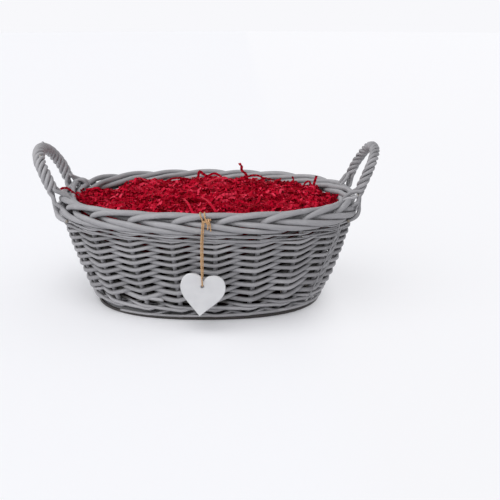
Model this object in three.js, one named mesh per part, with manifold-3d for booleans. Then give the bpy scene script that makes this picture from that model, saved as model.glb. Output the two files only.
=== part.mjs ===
// Wicker gift basket: an oval, flared basket of grey painted willow, standing on its base.
// Millimetres, +Z up, length along X, front towards -Y, origin at the middle of the underside.
// The rods follow the real weave: stakes rise from the base and bend over into the rolled border,
// and each weaving rod passes in front of one stake and behind the next, one layer up per bay.
import * as THREE from 'three';
import Module from 'manifold-3d';
import { mergeVertices } from 'three/addons/utils/BufferGeometryUtils.js';

const wasm = await Module();
wasm.setup();

// Oval of the stakes, at the base and at the top of the weave
const BASE_HALF_LENGTH = 133;
const BASE_HALF_WIDTH = 98;
const RIM_HALF_LENGTH = 174;
const RIM_HALF_WIDTH = 131;
const WALL_HEIGHT = 108;
const WALL_BELLY = 2.5;
const OVAL_POWER = 2.33;

// Stakes and the border that they bend into
const STAKE_COUNT = 20;
const STAKE_PHASE = 0.25;
const STAKE_RADIUS = 2.8;
const STAKE_TIP_RADIUS = 2.0;
const STAKE_FOOT_LENGTH = 16;
const FOOT_BEND = 8;
const BORDER_RADIUS = 3.25;
const ROD_GAP = 0.3;
const STAKE_GAP = 0.42;
const WEAVER_GAP = 0.5;

// Side weave
const LAYER_COUNT = 17;
const LAYER_THINNING_RATIO = 0.15;
const WALE_ROUND_COUNT = 4;
const WALE_RADIUS = 2.1;
const WALE_INNER = 5.8;
const TOP_WALE_RADIUS = 1.25;

// Base
const BASE_PLANE = 7.4;
const BASE_STICK_RADIUS = 2.4;
const LONG_STICK_RADIUS = 1.9;
const BASE_ROD_RADIUS = 1.5;
const BASE_ROUND_COUNT = 9;
const CROSS_STICK_COUNT = 7;
const LONG_STICK_COUNT = 3;
const SLATH_SPACING = 14;
const SLATH_LONG_SPACING = 7;
const FOOT_RING_RADIUS = 2.2;
const FOOT_RING_OUTWARD = 3;

// Roped end handles
const HANDLE_HALF_SPAN = 43.5;
const HANDLE_OUTWARD = 13;
const HANDLE_RISE = 47;
const HANDLE_LEAN = 23.4;
const HANDLE_CORE_RADIUS = 2.2;
const HANDLE_STRAND_RADIUS = 1.8;
const HANDLE_STRAND_COUNT = 4;
const HANDLE_TURN_COUNT = 4;

// Paper fill
const FILL_CLEARANCE = 1.5;
const FILL_SHOULDER = 114;
const FILL_CROWN = 138;
const TUFT_SPACING = 21;
const TUFT_HEIGHT = 5;

// Twine and wooden heart
const TWINE_X = -2.5;
const TWINE_RADIUS = 1;
const LOOP_SPACING = 1.8;
const KNOT_RADIUS = 3.3;
const HEART_WIDTH = 50;
const HEART_HEIGHT = 48.7;
const HEART_THICKNESS = 4;
const HEART_HOLE_RADIUS = 2.4;
const HEART_HOLE_DEPTH = 13.5;
const HEART_TILT_ANGLE = THREE.MathUtils.degToRad(7);
const HANGING_LENGTH = 82;

const PAINTED_WILLOW = { color: 0x85888b, roughness: 0.62, metalness: 0 };
const PAPER = { color: 0xa90a22, roughness: 0.75, metalness: 0 };
const PAINTED_WOOD = { color: 0xe4e2de, roughness: 0.55, metalness: 0 };
const JUTE = { color: 0xb9945f, roughness: 0.9, metalness: 0 };

const basket = new THREE.Group();
basket.name = 'wicker_gift_basket';

function addPart(name, geometry, look) {
  const mesh = new THREE.Mesh(geometry, new THREE.MeshStandardMaterial(look));
  mesh.name = name;
  basket.add(mesh);
}

// Oval outline, measured round the rim in equal lengths
const OVAL_SAMPLES = 1440;

function ovalXY(angle, halfLength, halfWidth) {
  const c = Math.cos(angle);
  const s = Math.sin(angle);
  return new THREE.Vector2(
    halfLength * Math.sign(c) * Math.abs(c) ** (2 / OVAL_POWER),
    halfWidth * Math.sign(s) * Math.abs(s) ** (2 / OVAL_POWER),
  );
}

function rimLengths() {
  const lengths = [0];
  let last = ovalXY(-Math.PI / 2, RIM_HALF_LENGTH, RIM_HALF_WIDTH);
  for (let i = 1; i <= OVAL_SAMPLES; i += 1) {
    const angle = -Math.PI / 2 + (2 * Math.PI * i) / OVAL_SAMPLES;
    const next = ovalXY(angle, RIM_HALF_LENGTH, RIM_HALF_WIDTH);
    lengths.push(lengths[i - 1] + next.distanceTo(last));
    last = next;
  }
  return lengths;
}

const RIM_LENGTHS = rimLengths();
const RIM_PERIMETER = RIM_LENGTHS[OVAL_SAMPLES];

// Angle of a place on the oval; turn 0 is the middle of the front and turns run anticlockwise
function ovalAngle(turn) {
  const wanted = (turn - Math.floor(turn)) * RIM_PERIMETER;
  let low = 0;
  let high = OVAL_SAMPLES;
  while (high - low > 1) {
    const middle = (low + high) >> 1;
    if (RIM_LENGTHS[middle] <= wanted) low = middle;
    else high = middle;
  }
  const part = (wanted - RIM_LENGTHS[low]) / (RIM_LENGTHS[high] - RIM_LENGTHS[low]);
  return -Math.PI / 2 + (2 * Math.PI * (low + part)) / OVAL_SAMPLES;
}

// How far the oval has opened at a height: 0 at the base, 1 at the top of the weave
function flare(height) {
  const share = THREE.MathUtils.clamp(height / WALL_HEIGHT, 0, 1);
  const span = RIM_HALF_LENGTH - BASE_HALF_LENGTH;
  return share + (WALL_BELLY / span) * Math.sin(Math.PI * share);
}

// A place on the wall, moved outward along the level normal of the oval
function wallPoint(turn, height, outward = 0) {
  const opened = flare(height);
  const halfLength = THREE.MathUtils.lerp(BASE_HALF_LENGTH, RIM_HALF_LENGTH, opened);
  const halfWidth = THREE.MathUtils.lerp(BASE_HALF_WIDTH, RIM_HALF_WIDTH, opened);
  const flat = ovalXY(ovalAngle(turn), halfLength, halfWidth);
  const normal = new THREE.Vector2(
    (Math.sign(flat.x) * Math.abs(flat.x / halfLength) ** (OVAL_POWER - 1)) / halfLength,
    (Math.sign(flat.y) * Math.abs(flat.y / halfWidth) ** (OVAL_POWER - 1)) / halfWidth,
  ).normalize();
  return new THREE.Vector3(flat.x + outward * normal.x, flat.y + outward * normal.y, height);
}

const stakeTurn = (stake) => (stake + STAKE_PHASE) / STAKE_COUNT;

// Solids
function closedGeometry(positions, faces) {
  const geometry = new THREE.BufferGeometry();
  geometry.setAttribute('position', new THREE.Float32BufferAttribute(positions, 3));
  geometry.setIndex(faces);
  geometry.computeVertexNormals();
  return geometry;
}

// A rod along a path, with a radius for each point; a closed path makes a ring. A level rod
// keeps its section upright, and any other carries it along the path without a twist.
function rod(path, radii, sides, { closed = false, level = closed } = {}) {
  const count = path.length;
  const positions = [];
  const faces = [];
  const across = new THREE.Vector3();
  const side = new THREE.Vector3();
  const tangent = new THREE.Vector3();
  for (let i = 0; i < count; i += 1) {
    const before = closed ? path[(i + count - 1) % count] : path[Math.max(i - 1, 0)];
    const after = closed ? path[(i + 1) % count] : path[Math.min(i + 1, count - 1)];
    tangent.subVectors(after, before).normalize();
    if (i === 0 || level) across.set(0, 0, 1);
    if (i === 0 && Math.abs(tangent.z) > 0.9) across.set(1, 0, 0);
    across.addScaledVector(tangent, -across.dot(tangent)).normalize();
    side.crossVectors(tangent, across);
    const radius = Array.isArray(radii) ? radii[i] : radii;
    for (let j = 0; j < sides; j += 1) {
      const angle = (2 * Math.PI * (j + 0.5)) / sides;
      const point = path[i].clone();
      point.addScaledVector(across, radius * Math.cos(angle));
      point.addScaledVector(side, radius * Math.sin(angle));
      positions.push(point.x, point.y, point.z);
    }
  }
  const spans = closed ? count : count - 1;
  for (let i = 0; i < spans; i += 1) {
    const next = (i + 1) % count;
    for (let j = 0; j < sides; j += 1) {
      const k = (j + 1) % sides;
      faces.push(i * sides + j, i * sides + k, next * sides + k);
      faces.push(i * sides + j, next * sides + k, next * sides + j);
    }
  }
  if (!closed) {
    const end = (count - 1) * sides;
    for (let j = 1; j < sides - 1; j += 1) {
      faces.push(0, j + 1, j);
      faces.push(end, end + j, end + j + 1);
    }
  }
  return closedGeometry(positions, faces);
}

// A solid skin over a stack of rings of equal point counts, closed at both ends
function loft(rings) {
  const count = rings[0].length;
  const positions = rings.flat().flatMap((point) => [point.x, point.y, point.z]);
  const faces = [];
  for (let i = 0; i < rings.length - 1; i += 1) {
    for (let j = 0; j < count; j += 1) {
      const k = (j + 1) % count;
      faces.push(i * count + j, i * count + k, (i + 1) * count + k);
      faces.push(i * count + j, (i + 1) * count + k, (i + 1) * count + j);
    }
  }
  for (const [ring, upward] of [[rings[0], false], [rings[rings.length - 1], true]]) {
    const centre = ring.reduce((sum, point) => sum.add(point), new THREE.Vector3());
    centre.divideScalar(count);
    const first = upward ? (rings.length - 1) * count : 0;
    const middle = positions.length / 3;
    positions.push(centre.x, centre.y, centre.z);
    for (let j = 0; j < count; j += 1) {
      const k = (j + 1) % count;
      if (upward) faces.push(first + j, first + k, middle);
      else faces.push(first + k, first + j, middle);
    }
  }
  return closedGeometry(positions, faces);
}

function toManifold(geometry) {
  const bare = geometry.clone();
  bare.deleteAttribute('normal');
  bare.deleteAttribute('uv');
  const merged = mergeVertices(bare, 1e-4);
  return new wasm.Manifold(new wasm.Mesh({
    numProp: 3,
    vertProperties: new Float32Array(merged.attributes.position.array),
    triVerts: new Uint32Array(merged.index.array),
  }));
}

function fromManifold(solid) {
  const mesh = solid.getMesh();
  return closedGeometry(Array.from(mesh.vertProperties), Array.from(mesh.triVerts));
}

function join(geometries) {
  return fromManifold(geometries.map(toManifold).reduce((whole, next) => whole.add(next)));
}

const cut = (geometry, tool) => fromManifold(toManifold(geometry).subtract(toManifold(tool)));

// Base: sticks of the slath, in pairs of opposite spokes, fanned out to the feet of the stakes
const SLATH_HALF_LENGTH = ((CROSS_STICK_COUNT + 1) / 2 - 0.5) * SLATH_SPACING;
const SLATH_HALF_WIDTH = (LONG_STICK_COUNT / 2) * SLATH_LONG_SPACING;
const HALF_STAKE_COUNT = STAKE_COUNT / 2;
const CROSS_REACH = (CROSS_STICK_COUNT - 1) / 2;

// A stake's foot lies beside its stick, and the fan needs a little more room than the two rods
const PAIR_SPREAD_RATIO = 1.22;
const PAIR_SPACING = PAIR_SPREAD_RATIO * (STAKE_RADIUS + BASE_STICK_RADIUS + ROD_GAP);

// The weaving rod's height over a stick, and over a stick with a stake's thicker foot beside it
const OVER_STICK = 1.12 * (BASE_STICK_RADIUS + BASE_ROD_RADIUS + ROD_GAP);
const OVER_PAIR = 1.28 * (BASE_STICK_RADIUS + BASE_ROD_RADIUS + ROD_GAP);
const BASE_TOP = BASE_PLANE + OVER_PAIR + BASE_ROD_RADIUS;
const BASE_WEAVE_SPAN = [0.09, 0.986];

// Inner end of the spoke that meets a stake
function slathEnd(stake) {
  const place = (stake + CROSS_REACH + 2 * STAKE_COUNT) % STAKE_COUNT;
  if (place < CROSS_STICK_COUNT) {
    return new THREE.Vector3((place - CROSS_REACH) * SLATH_SPACING, -SLATH_HALF_WIDTH, BASE_PLANE);
  }
  if (place < HALF_STAKE_COUNT) {
    const row = place - CROSS_STICK_COUNT - (LONG_STICK_COUNT - 1) / 2;
    return new THREE.Vector3(SLATH_HALF_LENGTH, row * SLATH_LONG_SPACING, BASE_PLANE);
  }
  const opposite = slathEnd(stake - HALF_STAKE_COUNT);
  return new THREE.Vector3(-opposite.x, -opposite.y, BASE_PLANE);
}

function spoke(stake) {
  const inner = slathEnd(stake);
  const outer = wallPoint(stakeTurn(stake), BASE_PLANE, -FOOT_BEND);
  const along = outer.clone().sub(inner).normalize();
  const beside = new THREE.Vector3(along.y, -along.x, 0);
  return { inner, outer, along, beside };
}

function stickAcross(front, back, radius) {
  const a = spoke(front);
  const b = spoke(back);
  const start = a.outer.clone().addScaledVector(a.beside, PAIR_SPACING);
  const end = b.outer.clone().addScaledVector(b.beside, PAIR_SPACING);
  return rod([start, a.inner, b.inner, end], radius, 4);
}

function baseSticks() {
  const sticks = [];
  for (let i = -CROSS_REACH; i <= CROSS_REACH; i += 1) {
    sticks.push(stickAcross(i, HALF_STAKE_COUNT - i, BASE_STICK_RADIUS));
  }
  for (let i = CROSS_REACH + 1; i < HALF_STAKE_COUNT - CROSS_REACH; i += 1) {
    sticks.push(stickAcross(i, STAKE_COUNT - i, LONG_STICK_RADIUS));
  }
  return join(sticks);
}

// One long rod in and out of the spokes, from the slath to the edge
function baseWeave() {
  const path = [];
  const crossings = BASE_ROUND_COUNT * STAKE_COUNT;
  const pairLength = STAKE_FOOT_LENGTH + FOOT_BEND / 2;
  for (let i = 0; i <= crossings; i += 1) {
    const { inner, outer, beside } = spoke(i % STAKE_COUNT);
    const share = THREE.MathUtils.lerp(...BASE_WEAVE_SPAN, i / crossings);
    const atPair = (1 - share) * outer.distanceTo(inner) < pairLength;
    const point = inner.clone().lerp(outer, share);
    point.addScaledVector(beside, PAIR_SPACING * share * (atPair ? 0.5 : 1));
    const over = (i + Math.floor(i / STAKE_COUNT)) % 2 === 1;
    point.z += (over ? 1 : -1) * (atPair ? OVER_PAIR : OVER_STICK);
    path.push(point);
  }
  return rod(path, BASE_ROD_RADIUS, 4);
}

// The ring's section has a level flat below, on which the basket stands
const FOOT_RING_SIDES = 6;
const FOOT_RING_CENTRE = FOOT_RING_RADIUS * Math.cos(Math.PI / FOOT_RING_SIDES);

function footRing() {
  const path = [];
  const steps = 2 * STAKE_COUNT;
  for (let i = 0; i < steps; i += 1) {
    path.push(wallPoint(i / steps, FOOT_RING_CENTRE, FOOT_RING_OUTWARD));
  }
  return rod(path, FOOT_RING_RADIUS, FOOT_RING_SIDES, { closed: true });
}

addPart('base_sticks', baseSticks(), PAINTED_WILLOW);
addPart('base_weaving_rod', baseWeave(), PAINTED_WILLOW);
addPart('foot_ring', footRing(), PAINTED_WILLOW);

// Border stroke of one stake: bays along the rim, then outward and up in border rod radii.
// It leaves the wall, bends over its neighbour, crosses to the inside and comes back out below.
const BORDER_STROKE = [
  [0, 0.05, 1.23], [0.02, 0.15, 3.58], [0.16, 1.18, 5.31], [0.5, 1.22, 6.63], [1, 0.39, 7.61],
  [1.5, -1.19, 7.18], [1.9, -2, 5.63], [2.22, -1.54, 3.88], [2.52, 0.28, 3.32], [2.85, 2.07, 3.3],
  [3.25, 2.69, 2.64], [3.7, 2.71, 1.47], [4.15, 2.4, 0.52], [4.5, 1.94, -0.03],
];
const STROKE_OUTWARD = BORDER_STROKE.map(([, outward]) => outward);
const STROKE_UP = BORDER_STROKE.map(([, , up]) => up);
const BORDER_TOP = (Math.max(...STROKE_UP) + 1) * BORDER_RADIUS;
const BORDER_OUTWARD = (Math.max(...STROKE_OUTWARD) + 1) * BORDER_RADIUS;
const BORDER_INWARD = (1 - Math.min(...STROKE_OUTWARD)) * BORDER_RADIUS;

// A stroke is a little thinner at its knee and at its tip
const BORDER_END_RADIUS = 0.9 * BORDER_RADIUS;
const KNEE_POINT_COUNT = 2;

// A stake's bend from the base to the wall, inward and up in lengths of the bend, and the
// heights at which it follows the belly of the wall, as shares of the wall
const FOOT_BEND_ROUTE = [[0.325, 0.15], [0.05, 0.64]];
const BELLY_SHARES = [0.5, 0.95];

function stake(index) {
  const { outer, along } = spoke(index);
  const turn = stakeTurn(index);
  const path = [outer.clone().addScaledVector(along, -STAKE_FOOT_LENGTH), outer];
  for (const [inward, up] of FOOT_BEND_ROUTE) {
    path.push(wallPoint(turn, BASE_PLANE + up * FOOT_BEND, -inward * FOOT_BEND));
  }
  for (const share of BELLY_SHARES) path.push(wallPoint(turn, share * WALL_HEIGHT));
  const radii = path.map((point, i) => (i === 0 ? STAKE_TIP_RADIUS : STAKE_RADIUS));
  BORDER_STROKE.forEach(([bays, outward, up], i) => {
    const height = WALL_HEIGHT + up * BORDER_RADIUS;
    path.push(wallPoint(turn + bays / STAKE_COUNT, height, outward * BORDER_RADIUS));
    const thin = i < KNEE_POINT_COUNT || i === BORDER_STROKE.length - 1;
    radii.push(thin ? BORDER_END_RADIUS : BORDER_RADIUS);
  });
  return rod(path, radii, 5);
}

const twoDigits = (index) => String(index + 1).padStart(2, '0');

for (let i = 0; i < STAKE_COUNT; i += 1) {
  addPart(`stake_${twoDigits(i)}`, stake(i), PAINTED_WILLOW);
}

// Upsett wale: one rod wound round the foot of the stakes, then in front of two and behind one
const WALE_FRONT = STAKE_RADIUS + WALE_RADIUS + ROD_GAP;
const WALE_HALF_HEIGHT = WALE_RADIUS * Math.cos(Math.PI / 4);
const WALE_BOTTOM = 2 * FOOT_RING_CENTRE + WALE_HALF_HEIGHT + ROD_GAP;
const WALE_PITCH = 2 * WALE_RADIUS + ROD_GAP;
const WALE_TOP = WALE_BOTTOM + WALE_ROUND_COUNT * WALE_PITCH;

function wale(crossings, plainCrossings, bottom, pitch, front, inner, radius) {
  const path = [];
  for (let i = 0; i <= crossings; i += 1) {
    const behind = i >= plainCrossings && i % 3 === 0;
    const height = bottom + (pitch * i) / STAKE_COUNT;
    path.push(wallPoint(stakeTurn(i), height, behind ? -inner : front));
  }
  return rod(path, radius, 4, { level: true });
}

addPart('upsett_wale', wale(
  WALE_ROUND_COUNT * STAKE_COUNT, 2 * STAKE_COUNT, WALE_BOTTOM, WALE_PITCH,
  WALE_FRONT, WALE_INNER, WALE_RADIUS,
), PAINTED_WILLOW);

// Side weave: rod k passes stake k + m at layer m, in front where m is even
const TOP_WALE_PITCH = 2 * TOP_WALE_RADIUS + ROD_GAP;
const TOP_WALE_TOP = WALL_HEIGHT - BORDER_END_RADIUS - TOP_WALE_RADIUS - ROD_GAP;
const TOP_WALE_BOTTOM = TOP_WALE_TOP - TOP_WALE_PITCH;
const WEAVE_BOTTOM = WALE_TOP + 2 * WALE_RADIUS + ROD_GAP;
const WEAVE_TOP = TOP_WALE_BOTTOM - 2 * TOP_WALE_RADIUS - 2 * ROD_GAP;

// Height of a layer; the rods thin towards their tips, so the layers close up
function layerHeight(layer) {
  const share = layer / (LAYER_COUNT - 1);
  const eased = share * (1 + LAYER_THINNING_RATIO) - LAYER_THINNING_RATIO * share * share;
  return THREE.MathUtils.lerp(WEAVE_BOTTOM, WEAVE_TOP, eased);
}

// The rods are square in section here, level above and below: half the height of one
const weaverHalf = (layer) => (layerHeight(layer + 1) - layerHeight(layer) - WEAVER_GAP) / 2;
const WEAVER_SIDE_COUNT = 4;
const WEAVER_CORNER_RATIO = 1 / Math.cos(Math.PI / WEAVER_SIDE_COUNT);

// A rod starts behind or in front of the weave, this share of a bay before its first stake
const WEAVER_START_SHARE = 0.3;

// How far out a square rod lies to clear a stake, which leans with the wall
function besideStake(half) {
  const lean = (RIM_HALF_LENGTH - BASE_HALF_LENGTH) / WALL_HEIGHT;
  return STAKE_RADIUS * Math.hypot(1, lean) + half * (1 + lean) + STAKE_GAP;
}

const WEAVE_REACH = besideStake(weaverHalf(0)) + weaverHalf(0);

function weaver(index) {
  const beforeFirst = stakeTurn(index - WEAVER_START_SHARE);
  const path = [wallPoint(beforeFirst, layerHeight(0), besideStake(weaverHalf(0)) / 2)];
  const radii = [weaverHalf(0) * WEAVER_CORNER_RATIO];
  for (let layer = 0; layer < LAYER_COUNT; layer += 1) {
    const half = weaverHalf(layer);
    const outward = (layer % 2 ? -1 : 1) * besideStake(half);
    path.push(wallPoint(stakeTurn(index + layer), layerHeight(layer), outward));
    radii.push(half * WEAVER_CORNER_RATIO);
  }
  return rod(path, radii, WEAVER_SIDE_COUNT, { level: true });
}

for (let i = 0; i < STAKE_COUNT; i += 1) {
  addPart(`weaver_${twoDigits(i)}`, weaver(i), PAINTED_WILLOW);
}

const TOP_WALE_OFFSET = STAKE_RADIUS + TOP_WALE_RADIUS + ROD_GAP;
addPart('top_wale', wale(
  STAKE_COUNT, 0, TOP_WALE_BOTTOM, TOP_WALE_PITCH,
  TOP_WALE_OFFSET, TOP_WALE_OFFSET, TOP_WALE_RADIUS,
), PAINTED_WILLOW);

// Handles: a bow with strands laid round it, whose ends straddle the border and tuck under it
const LAY_STEP_COUNT = 6;
const LAY_CORNER_RATIO = 1 / Math.cos(Math.PI / LAY_STEP_COUNT);
const LAY_RADIUS = LAY_CORNER_RATIO * (HANDLE_CORE_RADIUS + HANDLE_STRAND_RADIUS + ROD_GAP);
const BOW_FOOT = WALL_HEIGHT + BORDER_TOP + HANDLE_CORE_RADIUS;
const BOW_RISE_EASE = 0.62;
const BOW_LEAN_EASE = 0.73;

// Turn of the place on the right-hand end where the oval has the legs' distance from the middle
function legTurn(side) {
  const angle = side * Math.asin((HANDLE_HALF_SPAN / RIM_HALF_WIDTH) ** (OVAL_POWER / 2));
  const index = ((angle + Math.PI / 2) * OVAL_SAMPLES) / (2 * Math.PI);
  const low = Math.floor(index);
  const length = THREE.MathUtils.lerp(RIM_LENGTHS[low], RIM_LENGTHS[low + 1], index - low);
  return length / RIM_PERIMETER;
}

// The bow's centre line, a full arch that leans outward, from its front foot to its rear one
function bowCurve() {
  const foot = wallPoint(legTurn(-1), BOW_FOOT, HANDLE_OUTWARD);
  const points = [];
  const samples = 24;
  for (let i = 0; i <= samples; i += 1) {
    const angle = (Math.PI * i) / samples;
    const leaned = HANDLE_LEAN * Math.sin(angle) ** BOW_LEAN_EASE;
    const raised = HANDLE_RISE * Math.sin(angle) ** BOW_RISE_EASE;
    points.push(new THREE.Vector3(foot.x + leaned, foot.y * Math.cos(angle), BOW_FOOT + raised));
  }
  return new THREE.CatmullRomCurve3(points);
}

const BOW = bowCurve();

// Where a rod of a leg leaves the bow, as places outward and up from the top of the weave.
// The bow and the outer strands run down outside the border and tuck in under it; the inner
// strands cross over it and run down inside.
const TOP_LAYER_HALF = weaverHalf(LAYER_COUNT - 2);
const WEAVE_FACE = besideStake(TOP_LAYER_HALF) + TOP_LAYER_HALF;
const STRAND_SEAT = HANDLE_STRAND_RADIUS + ROD_GAP;
const BOW_SEAT = HANDLE_CORE_RADIUS + ROD_GAP;
const BOW_TUCK = [
  [BORDER_OUTWARD + BOW_SEAT, 5 * BORDER_RADIUS],
  [BORDER_OUTWARD + BOW_SEAT, 1.2 * BORDER_RADIUS],
  [BORDER_OUTWARD + ROD_GAP, -0.9 * BORDER_RADIUS],
  [WEAVE_FACE + BOW_SEAT, -2.2 * BORDER_RADIUS],
];
const OUTSIDE_ASIDE = HANDLE_CORE_RADIUS + HANDLE_STRAND_RADIUS + 2 * ROD_GAP;
const INSIDE_ASIDE = LAY_RADIUS * Math.SQRT1_2;
const OUTSIDE_TUCK = [[HANDLE_OUTWARD + BORDER_RADIUS / 2, 8 * BORDER_RADIUS], ...BOW_TUCK];
const INSIDE_TUCK = [
  [1.4 * BORDER_RADIUS, 9.2 * BORDER_RADIUS],
  [-0.6 * BORDER_RADIUS, 9.4 * BORDER_RADIUS],
  [-2.4 * BORDER_RADIUS, 8.7 * BORDER_RADIUS],
  [-BORDER_INWARD - STRAND_SEAT, 6.6 * BORDER_RADIUS],
  [-BORDER_INWARD - STRAND_SEAT, 3.4 * BORDER_RADIUS],
  [-WEAVE_FACE - STRAND_SEAT - 2 * ROD_GAP, 0],
  [-WEAVE_FACE - STRAND_SEAT, -2.4 * BORDER_RADIUS],
];

// A leg's route below the bow, on one side of the handle, moved aside along the rim
function legPath(tuck, side, aside) {
  const turn = legTurn(side) - (side * aside) / RIM_PERIMETER;
  return tuck.map(([outward, up]) => wallPoint(turn, WALL_HEIGHT + up, outward));
}

function mirrored(path, mirror) {
  return path.map((point) => new THREE.Vector3(mirror * point.x, mirror * point.y, point.z));
}

function bow(mirror) {
  const steps = 16;
  const path = legPath(BOW_TUCK, -1, 0).reverse();
  for (let i = 0; i <= steps; i += 1) path.push(BOW.getPointAt(i / steps));
  path.push(...legPath(BOW_TUCK, 1, 0));
  return rod(mirrored(path, mirror), HANDLE_CORE_RADIUS, 5);
}

// Across the bow at a point of it, outward from the basket and then along its plane
function acrossBow(share) {
  const tangent = BOW.getTangentAt(share);
  const outward = new THREE.Vector3(HANDLE_RISE, 0, -HANDLE_LEAN);
  outward.addScaledVector(tangent, -outward.dot(tangent)).normalize();
  return { outward, aside: new THREE.Vector3().crossVectors(tangent, outward) };
}

function strand(index, mirror) {
  const start = (2 * Math.PI * (index + 0.5)) / HANDLE_STRAND_COUNT;
  const isOutside = Math.cos(start) > 0;
  const tuck = isOutside ? OUTSIDE_TUCK : INSIDE_TUCK;
  const apart = Math.sign(Math.sin(start)) * (isOutside ? OUTSIDE_ASIDE : INSIDE_ASIDE);
  const path = legPath(tuck, -1, apart).reverse();
  const steps = HANDLE_TURN_COUNT * LAY_STEP_COUNT;
  for (let i = 1; i < steps; i += 1) {
    const angle = start + (2 * Math.PI * i) / LAY_STEP_COUNT;
    const { outward, aside } = acrossBow(i / steps);
    const point = BOW.getPointAt(i / steps);
    point.addScaledVector(outward, LAY_RADIUS * Math.cos(angle));
    point.addScaledVector(aside, LAY_RADIUS * Math.sin(angle));
    path.push(point);
  }
  path.push(...legPath(tuck, 1, apart));
  return rod(mirrored(path, mirror), HANDLE_STRAND_RADIUS, 4);
}

for (const [side, mirror] of [['right', 1], ['left', -1]]) {
  addPart(`${side}_handle_bow`, bow(mirror), PAINTED_WILLOW);
  for (let i = 0; i < HANDLE_STRAND_COUNT; i += 1) {
    addPart(`${side}_handle_strand_${i + 1}`, strand(i, mirror), PAINTED_WILLOW);
  }
}

// Paper fill: a mound that stands on the base weave and clears the wall and the handle strands
const FILL_BOTTOM = BASE_TOP + ROD_GAP;
const FILL_WIDEST = 0.76 * WALL_HEIGHT;
const FILL_POINT_COUNT = 72;
const MOUND_RING_COUNT = 13;
const MOUND_RISE_EASE = 0.6;
const MOUND_SIDE_EASE = 0.8;

// Places where the paper is heaped higher or lower than the mound: x, y, spread and lift
const HUMPS = [
  [-150, 18, 15, 5], [-121, 56, 12, -5], [-95, 62, 20, 4], [-18, 80, 30, 2], [42, 84, 18, 2],
  [98, 66, 18, 4], [134, 46, 12, 8], [147, 30, 7, -5], [151, 6, 10, 5],
];

// Lift of the tufts over the smooth mound, in rows that wander
function tuftLift(x, y) {
  const along = (2 * Math.PI * x) / TUFT_SPACING;
  const across = (2 * Math.PI * y) / TUFT_SPACING;
  const rows = Math.sin(along + 1.9 * Math.sin(across / 3.1));
  return (TUFT_HEIGHT / 2) * rows * Math.cos(across + 1.7 * Math.sin(along / 2.7));
}

function humpLift(x, y) {
  return HUMPS.reduce((sum, [atX, atY, spread, lift]) => (
    sum + lift * Math.exp(-(((x - atX) ** 2 + (y - atY) ** 2) / spread ** 2))
  ), 0);
}

function fillMound() {
  const outlineAt = (height) => (
    Array.from({ length: FILL_POINT_COUNT }, (unused, i) => (
      wallPoint(i / FILL_POINT_COUNT, height, -WEAVE_REACH - FILL_CLEARANCE)
    ))
  );
  const rings = [FILL_BOTTOM, FILL_WIDEST / 2, FILL_WIDEST].map(outlineAt);
  const widest = rings[rings.length - 1];
  for (let i = 0; i < MOUND_RING_COUNT; i += 1) {
    const scale = 1 - i / (MOUND_RING_COUNT + 1);
    const share = Math.acos(scale ** (1 / MOUND_SIDE_EASE)) / (Math.PI / 2);
    const height = THREE.MathUtils.lerp(FILL_SHOULDER, FILL_CROWN, share ** MOUND_RISE_EASE);
    rings.push(widest.map(({ x, y }) => {
      const lift = tuftLift(x * scale, y * scale) + humpLift(x * scale, y * scale);
      return new THREE.Vector3(x * scale, y * scale, height + lift);
    }));
  }
  return loft(rings);
}

addPart('paper_fill', fillMound(), PAPER);

// Twine: a doubled loop round the two upper border rods, with its knot and tails outside.
// Places are outward and up from the top of the weave, in border rod radii.
const TWINE_GAP = TWINE_RADIUS + ROD_GAP;
const KNOT_PLACE = [3.05, 6.15];
const LOOP_ROUTE = [
  [2.65, 6.77], [2.37, 7.75], [1.35, 8.71], [0, 8.8], [-1.45, 8.31], [-2.83, 7.51],
  [-3.26, 6.22], [-2.62, 4.95], [-1.23, 4.62], [0.46, 5.05], [1.85, 5.29], [2.65, 5.72],
];

// A tail's way along the rim, in knot radii, before its places outward and up
const TAIL_ROUTES = [
  [[0.3, 3.26, 6.15], [1.36, 4.12, 5.69], [1.61, 4.31, 4.31], [1.24, 4.25, 2.77]],
  [[0.3, 3.26, 6.15], [2.48, 4.12, 5.69], [2.73, 4.31, 4.31], [2.36, 4.25, 2.15]],
];

function rimPoint(x, outward, up) {
  const height = WALL_HEIGHT + up * BORDER_RADIUS;
  return wallPoint(x / RIM_PERIMETER, height, outward * BORDER_RADIUS);
}

function loopStrand(x) {
  return rod(LOOP_ROUTE.map(([outward, up]) => rimPoint(x, outward, up)), TWINE_RADIUS, 6);
}

function knot() {
  const place = rimPoint(TWINE_X, ...KNOT_PLACE);
  const geometry = new THREE.IcosahedronGeometry(KNOT_RADIUS, 1);
  geometry.scale(1.25, 0.95, 1);
  return geometry.translate(place.x, place.y, place.z);
}

function tail(route) {
  const path = route.map(([aside, ...place]) => rimPoint(TWINE_X + aside * KNOT_RADIUS, ...place));
  return rod(path, TWINE_RADIUS, 6);
}

function twineLoop() {
  const strands = [loopStrand(TWINE_X - LOOP_SPACING), loopStrand(TWINE_X + LOOP_SPACING)];
  return join([...strands, knot(), ...TAIL_ROUTES.map(tail)]);
}

addPart('twine_loop', twineLoop(), JUTE);

// Heart: hangs plumb from the knot, with one strand of the twine before it and one behind it
const HEART_Y = -(RIM_HALF_WIDTH + BORDER_OUTWARD + 2 * TWINE_GAP + HEART_THICKNESS / 2);
const KNOT_Z = WALL_HEIGHT + KNOT_PLACE[1] * BORDER_RADIUS;
const TWINE_TOP = KNOT_Z - KNOT_RADIUS - ROD_GAP;
const HOLE_Z = WALL_HEIGHT + BORDER_TOP + 2 * TWINE_RADIUS - HANGING_LENGTH;

// Right half of the outline, from the notch to the tip: across in half widths, up in heights.
// After the notch, each three points are one curve.
const HEART_HALF = [
  [0, -0.16], [0.08, -0.02], [0.34, 0], [0.52, 0], [0.84, 0], [1, -0.14], [1, -0.3],
  [1, -0.56], [0.42, -0.74], [0, -1],
];

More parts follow.
